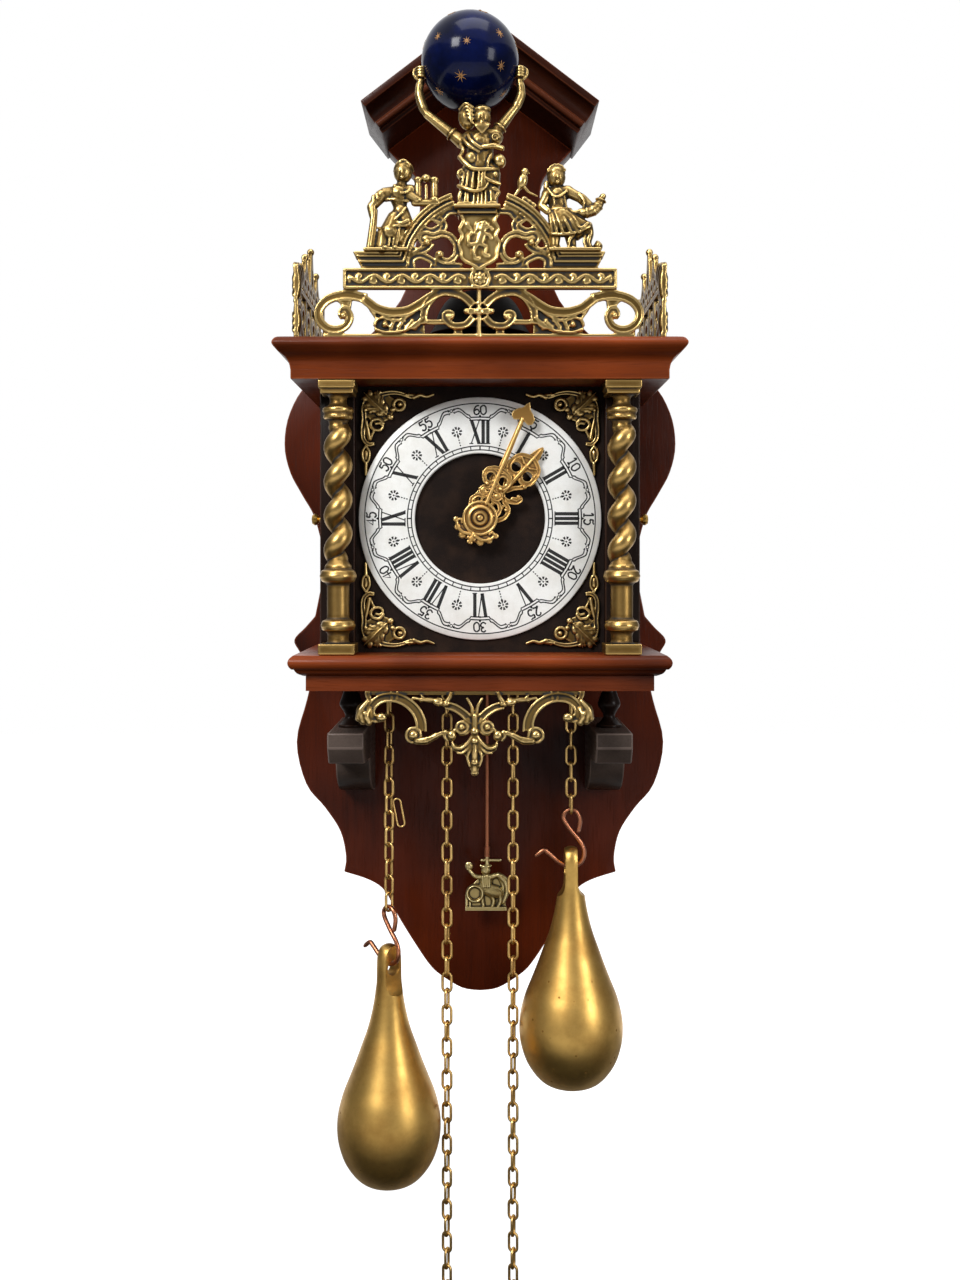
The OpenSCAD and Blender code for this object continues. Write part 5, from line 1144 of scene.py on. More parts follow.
def right_figure():
    """Seated figure in a belted robe with a curved horn, on a scroll seat."""
    s = Shape()
    s.ball((46.8, -59.4, 145), (5.8, 6.6, 5.8))
    calm_face(s, 46.9, -60, 150.4, 5.4, 0.4)
    s.ball((46.6, -56.4, 144.4), (6.0, 4.4, 5.8))
    for k in range(6):
        a = math.radians(25 + 26 * k)
        c = (46.6 + 4.6 * math.cos(a), -57.6 + 4.4 * math.sin(a))
        s.tube(lifted(whorl(c, 1.5, 0.5, 0, 400, 12), 147.6), 0.6)
    s.limb((40.8, -63, 145), 1.7, (40.6, -66, 145), 1.9)
    s.limb((47.6, -65, 144), 3.0, (47.6, -70, 144), 4.8)
    s.limb((41.4, -69.4, 144), 3.9, (54, -68, 144), 4.2)
    s.limb((47.4, -70, 143.8), 6.2, (48, -79, 143.8), 5.4)
    s.run([(41.4, -66.6, 147), (44.4, -71.6, 149.6), (48, -72.4, 150), (52.8, -68.6, 148)], 0.85)
    s.run([(44.6, -71.6, 149.6), (45, -76, 149.4), (44.4, -79, 148.4)], 0.7, 4)
    s.folds([(45.6, -73, 149.4), (51.6, -72, 148.6)], [(45.4, -78.6, 149), (53, -78.6, 148)], 4, 0.7)
    s.run([(41.6, -79.6, 147), (48, -79.8, 149.6), (55.4, -79.4, 147)], 1.0)
    s.limb((54.6, -68.4, 145), 3.4, (62, -72.4, 146), 3.0)
    s.limb((62, -72.4, 146), 3.2, (66.6, -77, 146.6), 3.0)
    s.run([(60.4, -69.8, 148), (63.2, -74.6, 149.4), (63, -78, 149)], 0.8, 4)
    horn = spline([(61.6, -81.4, 147), (66, -81.4, 147.4), (70.4, -79.4, 147.6), (73.2, -75.6, 147.4),
                   (74.8, -71.8, 147)], 6)
    s.tube(horn, [2.2 + 1.4 * math.sin(math.pi * min(1.0,
            i / (len(horn) - 1) * 0.9 + 0.1)) - 0.5 * i / (len(horn) - 1) for i in range(len(horn))], 1.0, 14)
    s.ball((75, -71.8, 147), (2.4, 2.0, 2.4), 40)
    for t in (5, 10, 15, 20):
        a, b = horn[min(t, len(horn) - 2)], horn[min(t + 1, len(horn) - 1)]
        s.tube(whorl_around(a, b, 0.0, 3.2), 0.5, closed=True)
    s.run([(54, -79.4, 147), (57.6, -81.6, 148.4), (62, -80.4, 148.4)], 1.1, 4)
    s.limb((41.2, -70, 145), 3.4, (37.6, -77, 146), 2.6)
    s.limb((37.6, -77, 146), 2.6, (41.6, -81, 148), 2.3)
    s.limb((47.4, -80, 144), 6.2, (50, -88, 144.6), 8.2)
    s.limb((50, -84, 144.6), 7.2, (58, -91, 145), 7.4)
    s.folds([(42.4, -81, 148), (47, -81.4, 150), (54, -81, 148.6)],
            [(44, -94, 150), (53, -95, 152), (62, -93, 151)], 6, 1.05, 1.4)
    s.run([(43.6, -95, 149.6), (50, -95.8, 151.4), (57.6, -95, 151.6)], 0.95)
    s.limb((56, -87.6, 145), 6.6, (64.4, -91, 146), 5.0)
    s.ball((65, -90, 148), (3.4, 3.0, 3.0))
    s.run([(58.4, -89, 151.4), (61.4, -92, 152), (65.6, -89, 151.6)], 0.9, 4)
    s.run([(60, -94.6, 151), (63.4, -92.6, 151.6), (66.6, -91, 150.6)], 1.0, 4)
    s.limb((46, -92, 145.6), 4.2, (45.6, -103, 147), 2.7)
    s.run([(56.6, -96, 150), (54.4, -99, 150.4), (54, -104, 150)], (1.4, 1.0), 4)
    s.limb((55, -94, 146), 3.8, (56.4, -103, 147), 2.7)
    s.ball((45.4, -103.8, 150), (1.9, 1.3, 2.4))
    s.ball((56.8, -103.8, 150), (1.9, 1.3, 2.4))
    s.run([(66.6, -89, 145), (67.4, -94, 145), (66.2, -99, 145), (67.6, -103, 145), (71.4, -104, 145),
           (73.6, -101.6, 145), (72, -99.6, 145)], (2.6, 1.6), 5, 1.8)
    s.ball((72.2, -101.6, 145), (2.7, 2.7, 4.4))
    s.run([(64, -96, 148), (63.6, -100, 148.6), (65, -104, 149)], 1.0, 4)
    s.box(42, 74, -105.4, -103.6, 136.4, 151.6)
    casting(s, "right_figure_casting", "right_figure", crest_brass, 0.46)


crest()
atlas()
left_figure()
right_figure()


# ---- globe with its stars
def star_tree():
    """Scatters a star over a surface at even distances."""
    tree, ids, take = growth("stars_on_globe", "Stars", (
        ("Globe", "Geometry"), ("Star", "Object"), ("Distance", "Float"), ("Density", "Float"), ("Seed", "Int"),
        ("Finish", "Material")))
    spots = put(tree, "GeometryNodeDistributePointsOnFaces",
                {"Mesh": take["Globe"], "Distance Min": take["Distance"], "Density Max": take["Density"],
                 "Seed": take["Seed"]}, distribute_method="POISSON").outputs
    star = put(tree, "GeometryNodeObjectInfo", {"Object": take["Star"]}).outputs["Geometry"]
    size = put(tree, "FunctionNodeRandomValue", {2: 0.75, 3: 1.15, "Seed": take["Seed"]},
               data_type="FLOAT").outputs[1]
    made = put(tree, "GeometryNodeInstanceOnPoints", {"Points": spots["Points"], "Instance": star,
                                                     "Rotation": spots["Rotation"], "Scale": size}).outputs[0]
    end_growth(tree, made, take["Finish"])
    return tree, ids


def globe():
    """A painted ball with thin eight-pointed stars of leaf metal."""
    centre, r = (-6.2, 17.4, 130.0), 30.4
    s = Shape()
    s.ball(centre, r, 0, 64, 96)
    me = s.mesh("celestial_globe_paint")
    smooth(me)
    piece("celestial_globe_paint", me, "case", globe_mat, "globe_paint", "celestial_globe")
    bm = bmesh.new()
    for k in range(4):
        a = math.radians(45 * k + 10)
        long, wide = 3.5 * MM, 0.34 * MM
        ends = [(u * math.cos(a) - v * math.sin(a), u * math.sin(a) + v * math.cos(a))
                for u, v in ((-long, 0), (0, -wide), (long, 0), (0, wide))]
        low = [bm.verts.new((x, y, -0.12 * MM)) for x, y in ends]
        top = [bm.verts.new((x, y, 0.1 * MM)) for x, y in ends]
        bm.faces.new(top)
        bm.faces.new(low[::-1])
        for i in range(4):
            bm.faces.new((low[i], low[(i + 1) % 4], top[(i + 1) % 4], top[i]))
    pattern = bpy.data.meshes.new("star_pattern")
    bm.to_mesh(pattern)
    bm.free()
    star = placed("star_pattern", pattern)
    made = grown("globe_stars", me.copy(), *star_tree(), {"Star": star, "Distance": 0.019, "Density": 12000.0,
                                                          "Seed": 4, "Finish": star_mat})
    bpy.data.objects.remove(star)
    piece("globe_stars", made, "case", star_mat, "globe_paint")


globe()


# ---- pierced side frets and apron
def side_fret(x, name):
    """Upright pierced gallery along one side of the cornice; drawn as seen from the right."""
    s = Shape()
    low, top = 0.0, 2.6

    def band(points, w, up=0.0):
        s.band(points, tuple(1.9 * q for q in w) if isinstance(w, tuple) else 1.9 * w, low, top + up, 0.8)
    s.box(0, 130, 0, 3, -0.4, 3.0)
    s.box(0, 130, 29.8, 32.6, -0.2, 2.9)
    for u in (10, 34, 58, 82, 106, 122):
        band(whorl((u, 16), 10, 3.4, -90, 300, 26), (2.8, 2.0))
        s.ball((u, 16, top), 2.0)
        band([(u + 12, 2), (u + 12, 31)], 2.4)
        band([(u, 2), (u, 6)], 2.4)
        s.leaf((u + 2, 25), 60, 6, 3, top - 0.6, 0.9, 3)
    for k in range(5):
        u = 13 + 26 * k
        h = 46 + (22 if k == 2 else 12 if k in (1, 3) else 0)
        band(whorl((u - 6, 39), 6.5, 2.2, 180, -170, 20), (2.8, 1.8), 0.3)
        band(whorl((u + 6, 39), 6.5, 2.2, 0, 350, 20), (2.8, 1.8), 0.3)
        s.ball((u - 6, 39, top), 1.7)
        s.ball((u + 6, 39, top), 1.7)
        band(spline([(u - 6, 45), (u - 2, h - 8), (u, h)], 5), (2.8, 2.0))
        band(spline([(u + 6, 45), (u + 2, h - 8), (u, h)], 5), (2.8, 2.0))
        s.leaf((u, 46), 90, h - 44, 7, top - 0.5, 1.2, 4)
        s.ball((u, h, top * 0.5), 2.5)
        band([(u - 13, 31), (u - 12.5, 39)], 3)
        band([(u + 13, 31), (u + 12.5, 39)], 3)
        s.leaf((u - 12.8, 38), 90, 8, 5, top - 0.6, 1.0, 3)
    for u, v, half, tall in ((127, 33.5, 3.6, 11.2), (126.6, 10.2, 3.8, 9.4), (122, 38, 4.2, 9.2),
                             (116, 41, 4.0, 7.4)):
        s.ball((u, v, 1.25), (half, tall, 2.9))
    for v in (5.4, 9.6, 13.8, 27, 31.6, 36.2):
        s.tube([(129, v - 1.6, 3.4), (125.6, v + 1.8, 3.9)], 0.7)
    keep = [(min(max(u, 0), 130), v, t) for u, v, t in s.points]
    side = 1 if x > 0 else -1
    s.points = [(x + side * (t - 1.25), -158 + v, 20 + u) for u, v, t in keep]
    if side > 0:
        s.faces = [tuple(reversed(f)) for f in s.faces]
    me = melted(s, name + "_casting", 0.55, 12, 0.5)
    for spot in me.attributes["recess"].data:
        spot.value += 0.22
    piece(name + "_casting", me, "case", crest_brass, "aged_brass", name)


side_fret(-112.0, "side_fret_left")
side_fret(112.0, "side_fret_right")


def apron():
    """Pierced scroll apron below the base, in bold double-ridged bands."""
    s = Shape()
    low, top = 137.0, 140.0

    def band(points, w, up=0.0, ridge=0.8):
        s.band(spline(points, 6), w, low, top + up - 0.5, ridge)

    def boss(x, z, r, collar):
        s.ball((x, z, top), (r, r, r * 0.75))
        s.hoop((x, z), collar, top - 0.3, 0.95)
        s.plate(whorl((x, z), collar, collar, 0, 360, 24)[:-1], low, top - 0.6)
    band([(-58.4, -391.4), (-62, -391.6), (-64.2, -388.4), (-63, -383.6), (-57.4, -379.4), (-49, -378.8),
          (-42, -381.6), (-36.4, -386.8), (-33.4, -393.4), (-33, -399.4)], (4.6, 6.6), 0.3)
    s.ball((-57.6, -391.0, top), (3.4, 3.0, 2.2))
    for a, b in (((-66, -381), (-71.4, -391.6)), ((-67.6, -383), (-69, -393.4)), ((-65, -386), (-65.4, -394))):
        s.run([(a[0], a[1], top - 0.6), ((a[0] + b[0]) / 2 - 1.6, (a[1] + b[1]) / 2, top + 0.7),
               (b[0], b[1], top - 0.6)], (1.5, 2.4))
    s.ball((-67.8, -388.6, top - 0.6), (5.6, 7.0, 1.9), 12)
    s.ball((-67.6, -388.4, top + 1.0), 1.7)
    boss(-37.8, -402, 3.1, 4.5)
    s.run([(-35.6, -405.4, top - 0.6), (-29.6, -405.2, top), (-23.4, -402, top), (-17.6, -400.4, top - 0.4)],
          [2.5] * 6 + [2.2] * 5 + [1.7] * 5)
    s.run([(-33.2, -404.2, top + 1.2), (-27, -402.8, top + 1.5), (-20, -399.8, top + 0.8)], 0.65)
    s.ball((-14.2, -402.2, top), (2.9, 3.5, 2.4), 10)
    s.run([(-18, -399.4, top), (-18.6, -402.6, top + 0.6), (-17, -405.2, top)], 1.0, 4)
    band([(-17.4, -383.6), (-12.4, -385), (-7.6, -388), (-3.6, -391.6), (-0.4, -393.4)], (4.6, 5.0), 0.2)
    s.ball((-17.4, -382.6, top - 0.4), (2.4, 2.0, 1.8), 30)
    s.run([(-18.6, -383, top - 0.6), (-16, -379.4, top - 0.4), (-14.6, -376, top - 0.8)], (1.7, 1.3), 4)
    band([(-4.6, -392.4), (-2.6, -396.4), (-5.4, -400.6), (-9, -401)], (2.2, 2.4))
    boss(-7.9, -397.2, 2.0, 3.5)
    s.tube([(-12.4, -399, top - 0.6), (-10.6, -398.6, top - 0.6)], 1.3)
    s.leaf((-19, -381.4), 172, 16, 5.2, top - 0.5, 1.3, 2)
    s.ball((-22.6, -381.8, top + 0.2), (3.2, 2.2, 1.6), -16)
    s.run([(-38, -379, top - 0.8), (-30, -380.4, top - 0.2), (-21, -380, top - 0.4)], (0.9, 1.4), 4)
    s.plate([(0.6, -401), (-2.6, -403.4), (-6.4, -407), (-10.2, -408.6), (-13, -406.8), (-14.2, -408.2),
             (-13.4, -411.4), (-10.2, -413.4), (-6.4, -414.2), (-4.4, -416.6), (-3.4, -421), (-2, -425),
             (0.6, -426)], low, top - 0.2)
    for run, r in (([(-0.8, -402), (-4, -406.4), (-8.4, -410), (-12.6, -409.4), (-13.6, -407)], (1.5, 1.0)),
                   ([(-0.8, -404), (-3.4, -409), (-7, -412.6), (-10.4, -413)], (1.3, 0.8)),
                   ([(-0.6, -406), (-2.6, -411), (-4.4, -415.4), (-3, -421)], (1.2, 0.8))):
        s.run([(x, z, top + 0.2) for x, z in run], r)
    band([(-64.4, -381), (-66, -377.6), (-66.4, -375)], (2.4, 2.6))
    band([(-49.6, -379.6), (-49.6, -375)], (4, 5))
    s.run([(-1.2, -390, top - 0.8), (-1.8, -384.4, top - 0.5), (-4.6, -379.4, top - 0.7)], (1.2, 0.9), 4)
    s.points = [(x - 3.3, z, d) for x, z, d in s.points]
    s.mirrored(-3.3)
    s.box(-70, 63.4, -377.2, -374.8, low, top - 0.4)
    s.ball((-3.3, -390.4, top + 0.4), (1.7, 1.7, 1.5))
    s.tube([(-3.3, -390, top - 0.2), (-3.3, -405, top - 0.2)], 2.0)
    s.ball((-3.3, -399.6, top + 0.8), (2.6, 2.6, 2.0))
    s.ball((-3.3, -405.6, top + 0.8), (2.2, 2.2, 1.8))
    s.run([(-3.3, -404, top), (-3.3, -412, top + 0.8), (-3.3, -419, top), (-3.3, -424.6, top - 0.8)],
          [1.6] * 5 + [1.9] * 5 + [2.2] * 5 + [1.9])
    s.ball((-3.3, -418.6, top + 0.9), (2.3, 2.6, 1.7))
    s.ball((-3.3, -425.2, top - 0.6), (2.5, 2.2, 1.9))
    s.points = [(x, min(z, -374.75), d) for x, z, d in s.points]
    me = melted(s, "apron_casting", 0.46, 13, 0.42)
    tag = me.attributes["recess"].data
    # painted shadow: the apron's top, in the shade under the base, is darkened through its recess value over
    # its top 3 mm
    for v in me.vertices:
        tag[v.index].value += min(max((v.co.z / MM + 380) / 3, 0), 1)
    piece("apron_casting", me, "case", old_brass, "aged_brass", "apron_fret")


apron()


# ---- dial
def clock_point(r, angle):
    a = math.radians(angle)
    return (r * math.sin(a), DIAL_Z + r * math.cos(a))


def dial_ring():
    """A flat ring with softened edges."""
    rows = [(41.4, 115.0), (41.4, 117.5), (41.9, 118.0), (73.7, 118.0), (74.2, 117.9), (76.8, 117.1),
            (77.2, 116.7), (77.2, 115.0)]
    s = Shape()
    s.rings([lifted([clock_point(r, 360 * k / 240) for k in range(240)], d) for r, d in rows], closed=True)
    s.faces = [f[::-1] for f in s.faces]
    me = s.mesh("silvered_dial_ring")
    faced_out(me)
    smooth(me, 25)
    piece("silvered_dial_ring", me, "case", silver_mat, "silvered_ring", "chapter_ring")


DIGITS = {"0": [[(0, 2.7), (-1.35, 1.6), (-1.45, 0), (-1.2, -1.7), (0, -2.7), (1.3, -1.6), (1.45, 0),
                 (1.2, 1.7), (0, 2.7)]], "1": [[(-1, 1.5), (0.1, 2.7), (0.1, -2.7)],
        [(-0.9, -2.7), (1.1, -2.7)]], "2": [[(-1.3, 1.5), (-0.7, 2.6), (0.7, 2.6), (1.2, 1.4), (0.2, -0.6),
        (-1.4, -2.5)], [(-1.4, -2.5), (0, -2.1), (1.6, -2.6)]],
          "3": [[(-1.3, 1.8), (-0.4, 2.7), (0.9, 2.2), (0.9, 0.8), (-0.3, 0.2)],
                [(-0.3, 0.2), (1.1, -0.2), (1.3, -1.7), (0, -2.7), (-1.4, -1.8)]],
          "4": [[(0.7, -2.7), (0.7, 2.7), (-1.6, -0.9), (1.7, -0.9)]],
          "5": [[(1.5, 2.9), (0.2, 2.4), (-0.9, 2.5), (-1.1, 0.6)],
                [(-1.1, 0.6), (0.4, 0.9), (1.35, -0.3), (0.9, -2.1), (-0.3, -2.7), (-1.4, -1.8)]],
          "6": [[(1.3, 2.5), (-0.3, 2), (-1.3, 0), (-1.1, -2), (0, -2.7), (1.2, -1.9), (1.2, -0.5), (0.1, 0.3),
                 (-1.2, -0.6)]]}
ROMAN = ["XII", "I", "II", "III", "IIII", "V", "VI", "VII", "VIII", "IX", "X", "XI"]


def dial_print():
    """Rings, scalloped border, rosettes and numerals as thin raised ink."""
    s = Shape()
    low, top = 117.9, 118.05

    def stroke(points, w, angle, r):
        """A pen stroke in a small frame whose origin lies at radius r and angle."""
        a = math.radians(angle)
        s.ribbon([(u * math.cos(a) + (r + v) * math.sin(a), DIAL_Z - u * math.sin(a) + (r + v) * math.cos(a))
                  for u, v in points], w, low, top)

    for r in (73.2, 46.1, 43.6):
        s.ribbon([clock_point(r, 360 * k / 240) for k in range(241)], 0.75, low, top)
    for k in range(48):
        a = 360 * k / 48
        s.ribbon([clock_point(43.6, a), clock_point(46.1, a)], 0.6 if k % 4 else 0.85, low, top)

    def scallop(q):
        """Radius of the border at q degrees from an hour."""
        q = abs(q)
        if q < 5.2:
            return 64.4
        if q < 6.0:
            return 64.4 + 1.7 * (q - 5.2) / 0.8
        if q < 11.5:
            t = (q - 6.0) / 5.5
            return 66.1 + 5.2 * (t * t * (3 - 2 * t))
        return 71.3 - 0.5 * ((q - 11.5) / 3.5) ** 2
    for h in range(12):
        base = 30 * h
        steps = [-13.2 + 26.4 * k / 66 for k in range(67)]
        s.ribbon([clock_point(scallop(q), base + q) for q in steps], 0.85, low, top)
        s.ribbon([clock_point(scallop(q) - 2.0 * (1 if abs(q) > 5 else 0.9), base + q) for q in steps], 0.75,
                 low, top)
        for side in (-1, 1):
            s.ribbon([clock_point(70.9, base + side * 13.2), clock_point(71.2, base + side * 14.1)], (1.9, 0.8),
                     low, top)
        knot = [clock_point(70.6 + 0.9 * math.sin(math.radians(t)),
                            base + 15 + 0.75 * math.cos(math.radians(t))) for t in range(0, 361, 30)]
        s.ribbon(knot, 0.6, low, top)
        s.ribbon([clock_point(68.8, base + 13.2), clock_point(69.4, base + 14.2)], (1.3, 0.6), low, top)
        s.ribbon([clock_point(68.8, base + 16.8), clock_point(69.4, base + 15.8)], (1.3, 0.6), low, top)
        stroke([(0, 0), (0, 1.5)], (2.0, 0.8), base, 64.4)
        stroke([(0, 0), (0, -1.0)], (1.0, 0.4), base, 63.2)
        # half-hour rosette with its dashed stem
        for k in range(8):
            b = math.radians(45 * k)
            stroke([(q * math.sin(b), q * math.cos(b)) for q in (1.5, 2.3, 3.3)], (0.8, 1.55), base + 15, 56.8)
        stroke([(-0.5, 0), (0.5, 0)], 1.0, base + 15, 56.8)
        for v in (52.6, 50.9, 49.2, 47.5):
            stroke([(0, 0), (0, 1.0)], (0.65, 0.85), base + 15, v)
        stroke([(0, -0.6), (0, -3.8)], (0.35, 0.35), base + 15, 56.8)
        # hour numeral
        word = ROMAN[h]
        tall, thick, thin = 14.8, 2.15, 0.7
        wide = {"I": 3.0, "V": 6.6, "X": 7.0}
        total = sum(wide[c] for c in word)
        u, mid = -total / 2, 55.0
        for c in word:
            m, half = u + wide[c] / 2, tall / 2
            if c == "I":
                stroke([(m, -half), (m, half)], thick, base, mid)
                for v in (-half, half):
                    stroke([(m - 1.5, v), (m + 1.5, v)], thin, base, mid)
            elif c == "V":
                stroke([(m - 2.2, half), (m + 0.2, -half)], thick, base, mid)
                stroke([(m + 2.4, half), (m + 0.4, -half)], thin, base, mid)
                for q in (-2.2, 2.4):
                    stroke([(m + q - 1.4, half), (m + q + 1.4, half)], thin, base, mid)
            else:
                stroke([(m - 2.4, half), (m + 2.4, -half)], thick, base, mid)
                stroke([(m + 2.5, half), (m - 2.5, -half)], thin, base, mid)
                for q in (-2.5, 2.5):
                    for v in (-half, half):
                        stroke([(m + q - 1.3, v), (m + q + 1.3, v)], thin, base, mid)
            u += wide[c]
        # minute numbers
        text = str(60 if h == 0 else 5 * h)
        for i, c in enumerate(text):
            shift = (i - (len(text) - 1) / 2) * 4.3
            for run in DIGITS[c]:
                line = [(p[0] * 1.2, p[1] * 1.12) for p in run]
                if len(run) > 2 and c != "4":
                    line = spline(line, 4)
                stroke([(float(q[0]) + shift, float(q[1])) for q in line], (0.9, 1.2) if c in "25"
                       else 1.0, base, 69.0)
    piece("dial_print", s.mesh("dial_print"), "case", ink, "silvered_ring")


def spandrels():
    """Four leafy corners, drawn once and mirrored both ways."""
    s = Shape()
    low, top = 115.0, 117.2
    s.leaf((-59.6, 66.4), 136, 20, 12, top - 0.5, 1.4, 4)
    s.leaf((-64, 70), 96, 12, 7, top - 0.7, 1.3, 3)
    s.leaf((-64, 70), 178, 11, 7, top - 0.7, 1.3, 3)
    s.wire([(-61.6, 60.6), (-64, 63.2), (-68, 62.6), (-69.6, 59.6), (-67.4, 56.6), (-63.4, 56.4), (-61.8, 58.6),
            (-63.6, 60.6), (-66.2, 60.2)], top - 0.4, (1.15, 0.8), 4)
    s.hoop((-51.4, 72.4), 3.5, top - 0.5, 1.05)
    s.ball((-50.8, 72.6, top - 0.4), 1.6)
    s.ball((-57, 64.6, top - 0.2), (2.2, 2.0, 1.5))
    s.ball((-55.4, 69.2, top - 0.4), 1.7)
    s.ball((-62, 68, top - 0.4), (2.6, 2.2, 1.4), 30)
    s.ball((-73, 69, top - 0.6), 1.4)
    s.band(spline([(-72, 76), (-74, 70), (-73.8, 64), (-74.6, 56), (-74, 50.4), (-71, 47.4), (-67.6, 47.6)], 5),
           (3.4, 2.0), low, top - 0.4, 0.62)
    s.wire([(-72.6, 62), (-71.4, 56.4), (-70.4, 51)], top - 0.4, (0.9, 1.4), 4)
    s.wire([(-67.6, 55.6), (-69, 52.4), (-69.6, 50)], top - 0.6, (0.9, 0.6), 4)
    s.wire([(-72.8, 46), (-74.9, 42.4), (-74.4, 37.6), (-72.6, 35.6), (-70.8, 37.6), (-70.4, 42.4),
            (-72.6, 46)], top - 0.6, 0.85, 4)
    s.ball((-72.6, 40.4, top - 0.9), (1.2, 3.2, 0.8))
    s.tube([(-72.6, 35, top - 0.7), (-72.8, 28, top - 0.9)], (1.3, 0.8))
    s.band(spline([(-67, 77.4), (-60.9, 79.5), (-55, 80.2), (-49.6, 79.4), (-45, 77.6), (-42, 77)], 5),
           (2.8, 1.6), low, top - 0.5, 0.55)
    s.leaf((-47, 78.8), 356, 9, 3.6, top - 0.7, 1.0, 2)
    s.wire([(-42, 77), (-38, 78.6), (-34, 77.6), (-29.6, 79)], top - 0.7, (1.4, 0.8), 4)
    s.plate([(-73.6, 79), (-60, 79.6), (-54, 76), (-54, 70), (-58, 63), (-66, 60), (-73.4, 66)], low, low + 0.9)
    s.mirrored(0.0)
    s.add([(x, -z - 0.4, d) for x, z, d in s.points], [tuple(reversed(f)) for f in s.faces])
    s.points = [(x, z + DIAL_Z, max(d, low)) for x, z, d in s.points]
    casting(s, "spandrel_castings", "corner_spandrels", old_brass, 0.34, depth=0.3)


HOUR_ANGLE, MINUTE_ANGLE = 41.9, 23.2  # degrees past twelve, as in the photo


def hour_hand():
    """Pierced head between scrolls, drawn at twelve o'clock."""
    s = Shape()
    low, top = 120.6, 122.3

    def band(points, w, up=0.0):
        s.band(spline([(side * u, v) for u, v in points], 5), w, low, top + up - 0.3, 0.42)
    s.plate(whorl((0, 0), 10.2, 10.2, 0, 360, 40)[:-1], low, top - 0.3)
    s.hoop((0, 0), 10.2, top - 0.2, 0.8, 40)
    for side in (-1, 1):
        band([(8.4, 5), (11.4, 11), (9.4, 16.4), (4.6, 17.6), (1.2, 20.6)], (2.8, 2.4))
        band([(3, 9), (6, 12.4), (5.6, 15.6)], (1.4, 1.2))
        s.ball((side * 8.6, 14.6, top - 0.4), 1.3)
        band([(1.4, 19), (6.4, 20), (10.6, 22.8), (11.4, 26), (8.6, 26.6)], (2.8, 2.2))
        for k in range(3):
            s.tube([(side * 6.6, 22 + 0.7 * k, top), (side * (9.8 + 0.5 * k), 23.4 + 1.2 * k, top)], 0.6)
        s.ball((side * 9, 26.2, top - 0.3), 1.4)
        band([(1, 24), (3.4, 28.4), (6.4, 31.6), (8.2, 34)], (2.6, 2.6))
        s.band(whorl((side * 4.7, 39.4), 4.7, 4.7, 0, 360, 32), 3.2, low, top - 0.3, 0.55)
        band([(9, 38), (9.2, 43), (7.4, 47.2), (3.4, 49.6), (0, 50.6)], (2.6, 2.4), 0.1)
        s.tube([(side * 2.6, 44.4, top), (side * 6, 46.4, top)], 0.7)
        s.ball((side * 7.8, 33.6, top - 0.3), 1.6)
    s.plate([(-7.6, 43.6), (0, 42.4), (7.6, 43.6), (6.6, 47.4), (3.6, 50), (2.9, 54), (1.7, 58), (0.6, 60),
             (-0.6, 60), (-1.7, 58), (-2.9, 54), (-3.6, 50), (-6.6, 47.4)], low, top - 0.5)
    s.tube([(0, 43, top - 0.5), (0, 50, top - 0.4), (0, 59.6, top - 0.8)], [1.1, 1.0, 0.4])
    s.tube([(0, 8, top - 0.4), (0, 43, top - 0.4)], 1.5)
    s.leaf((0, 30), 90, 9, 5, top - 0.4, 0.8, 3)
    s.points = [(x, z + DIAL_Z, min(max(d, low), 123.3)) for x, z, d in s.points]
    s.turned_by(HOUR_ANGLE, (0, DIAL_Z))
    casting(s, "hour_hand_gilt", "hour_hand", gilt, 0.28, depth=0.52, body="hour", slot_name="gilt_hands")


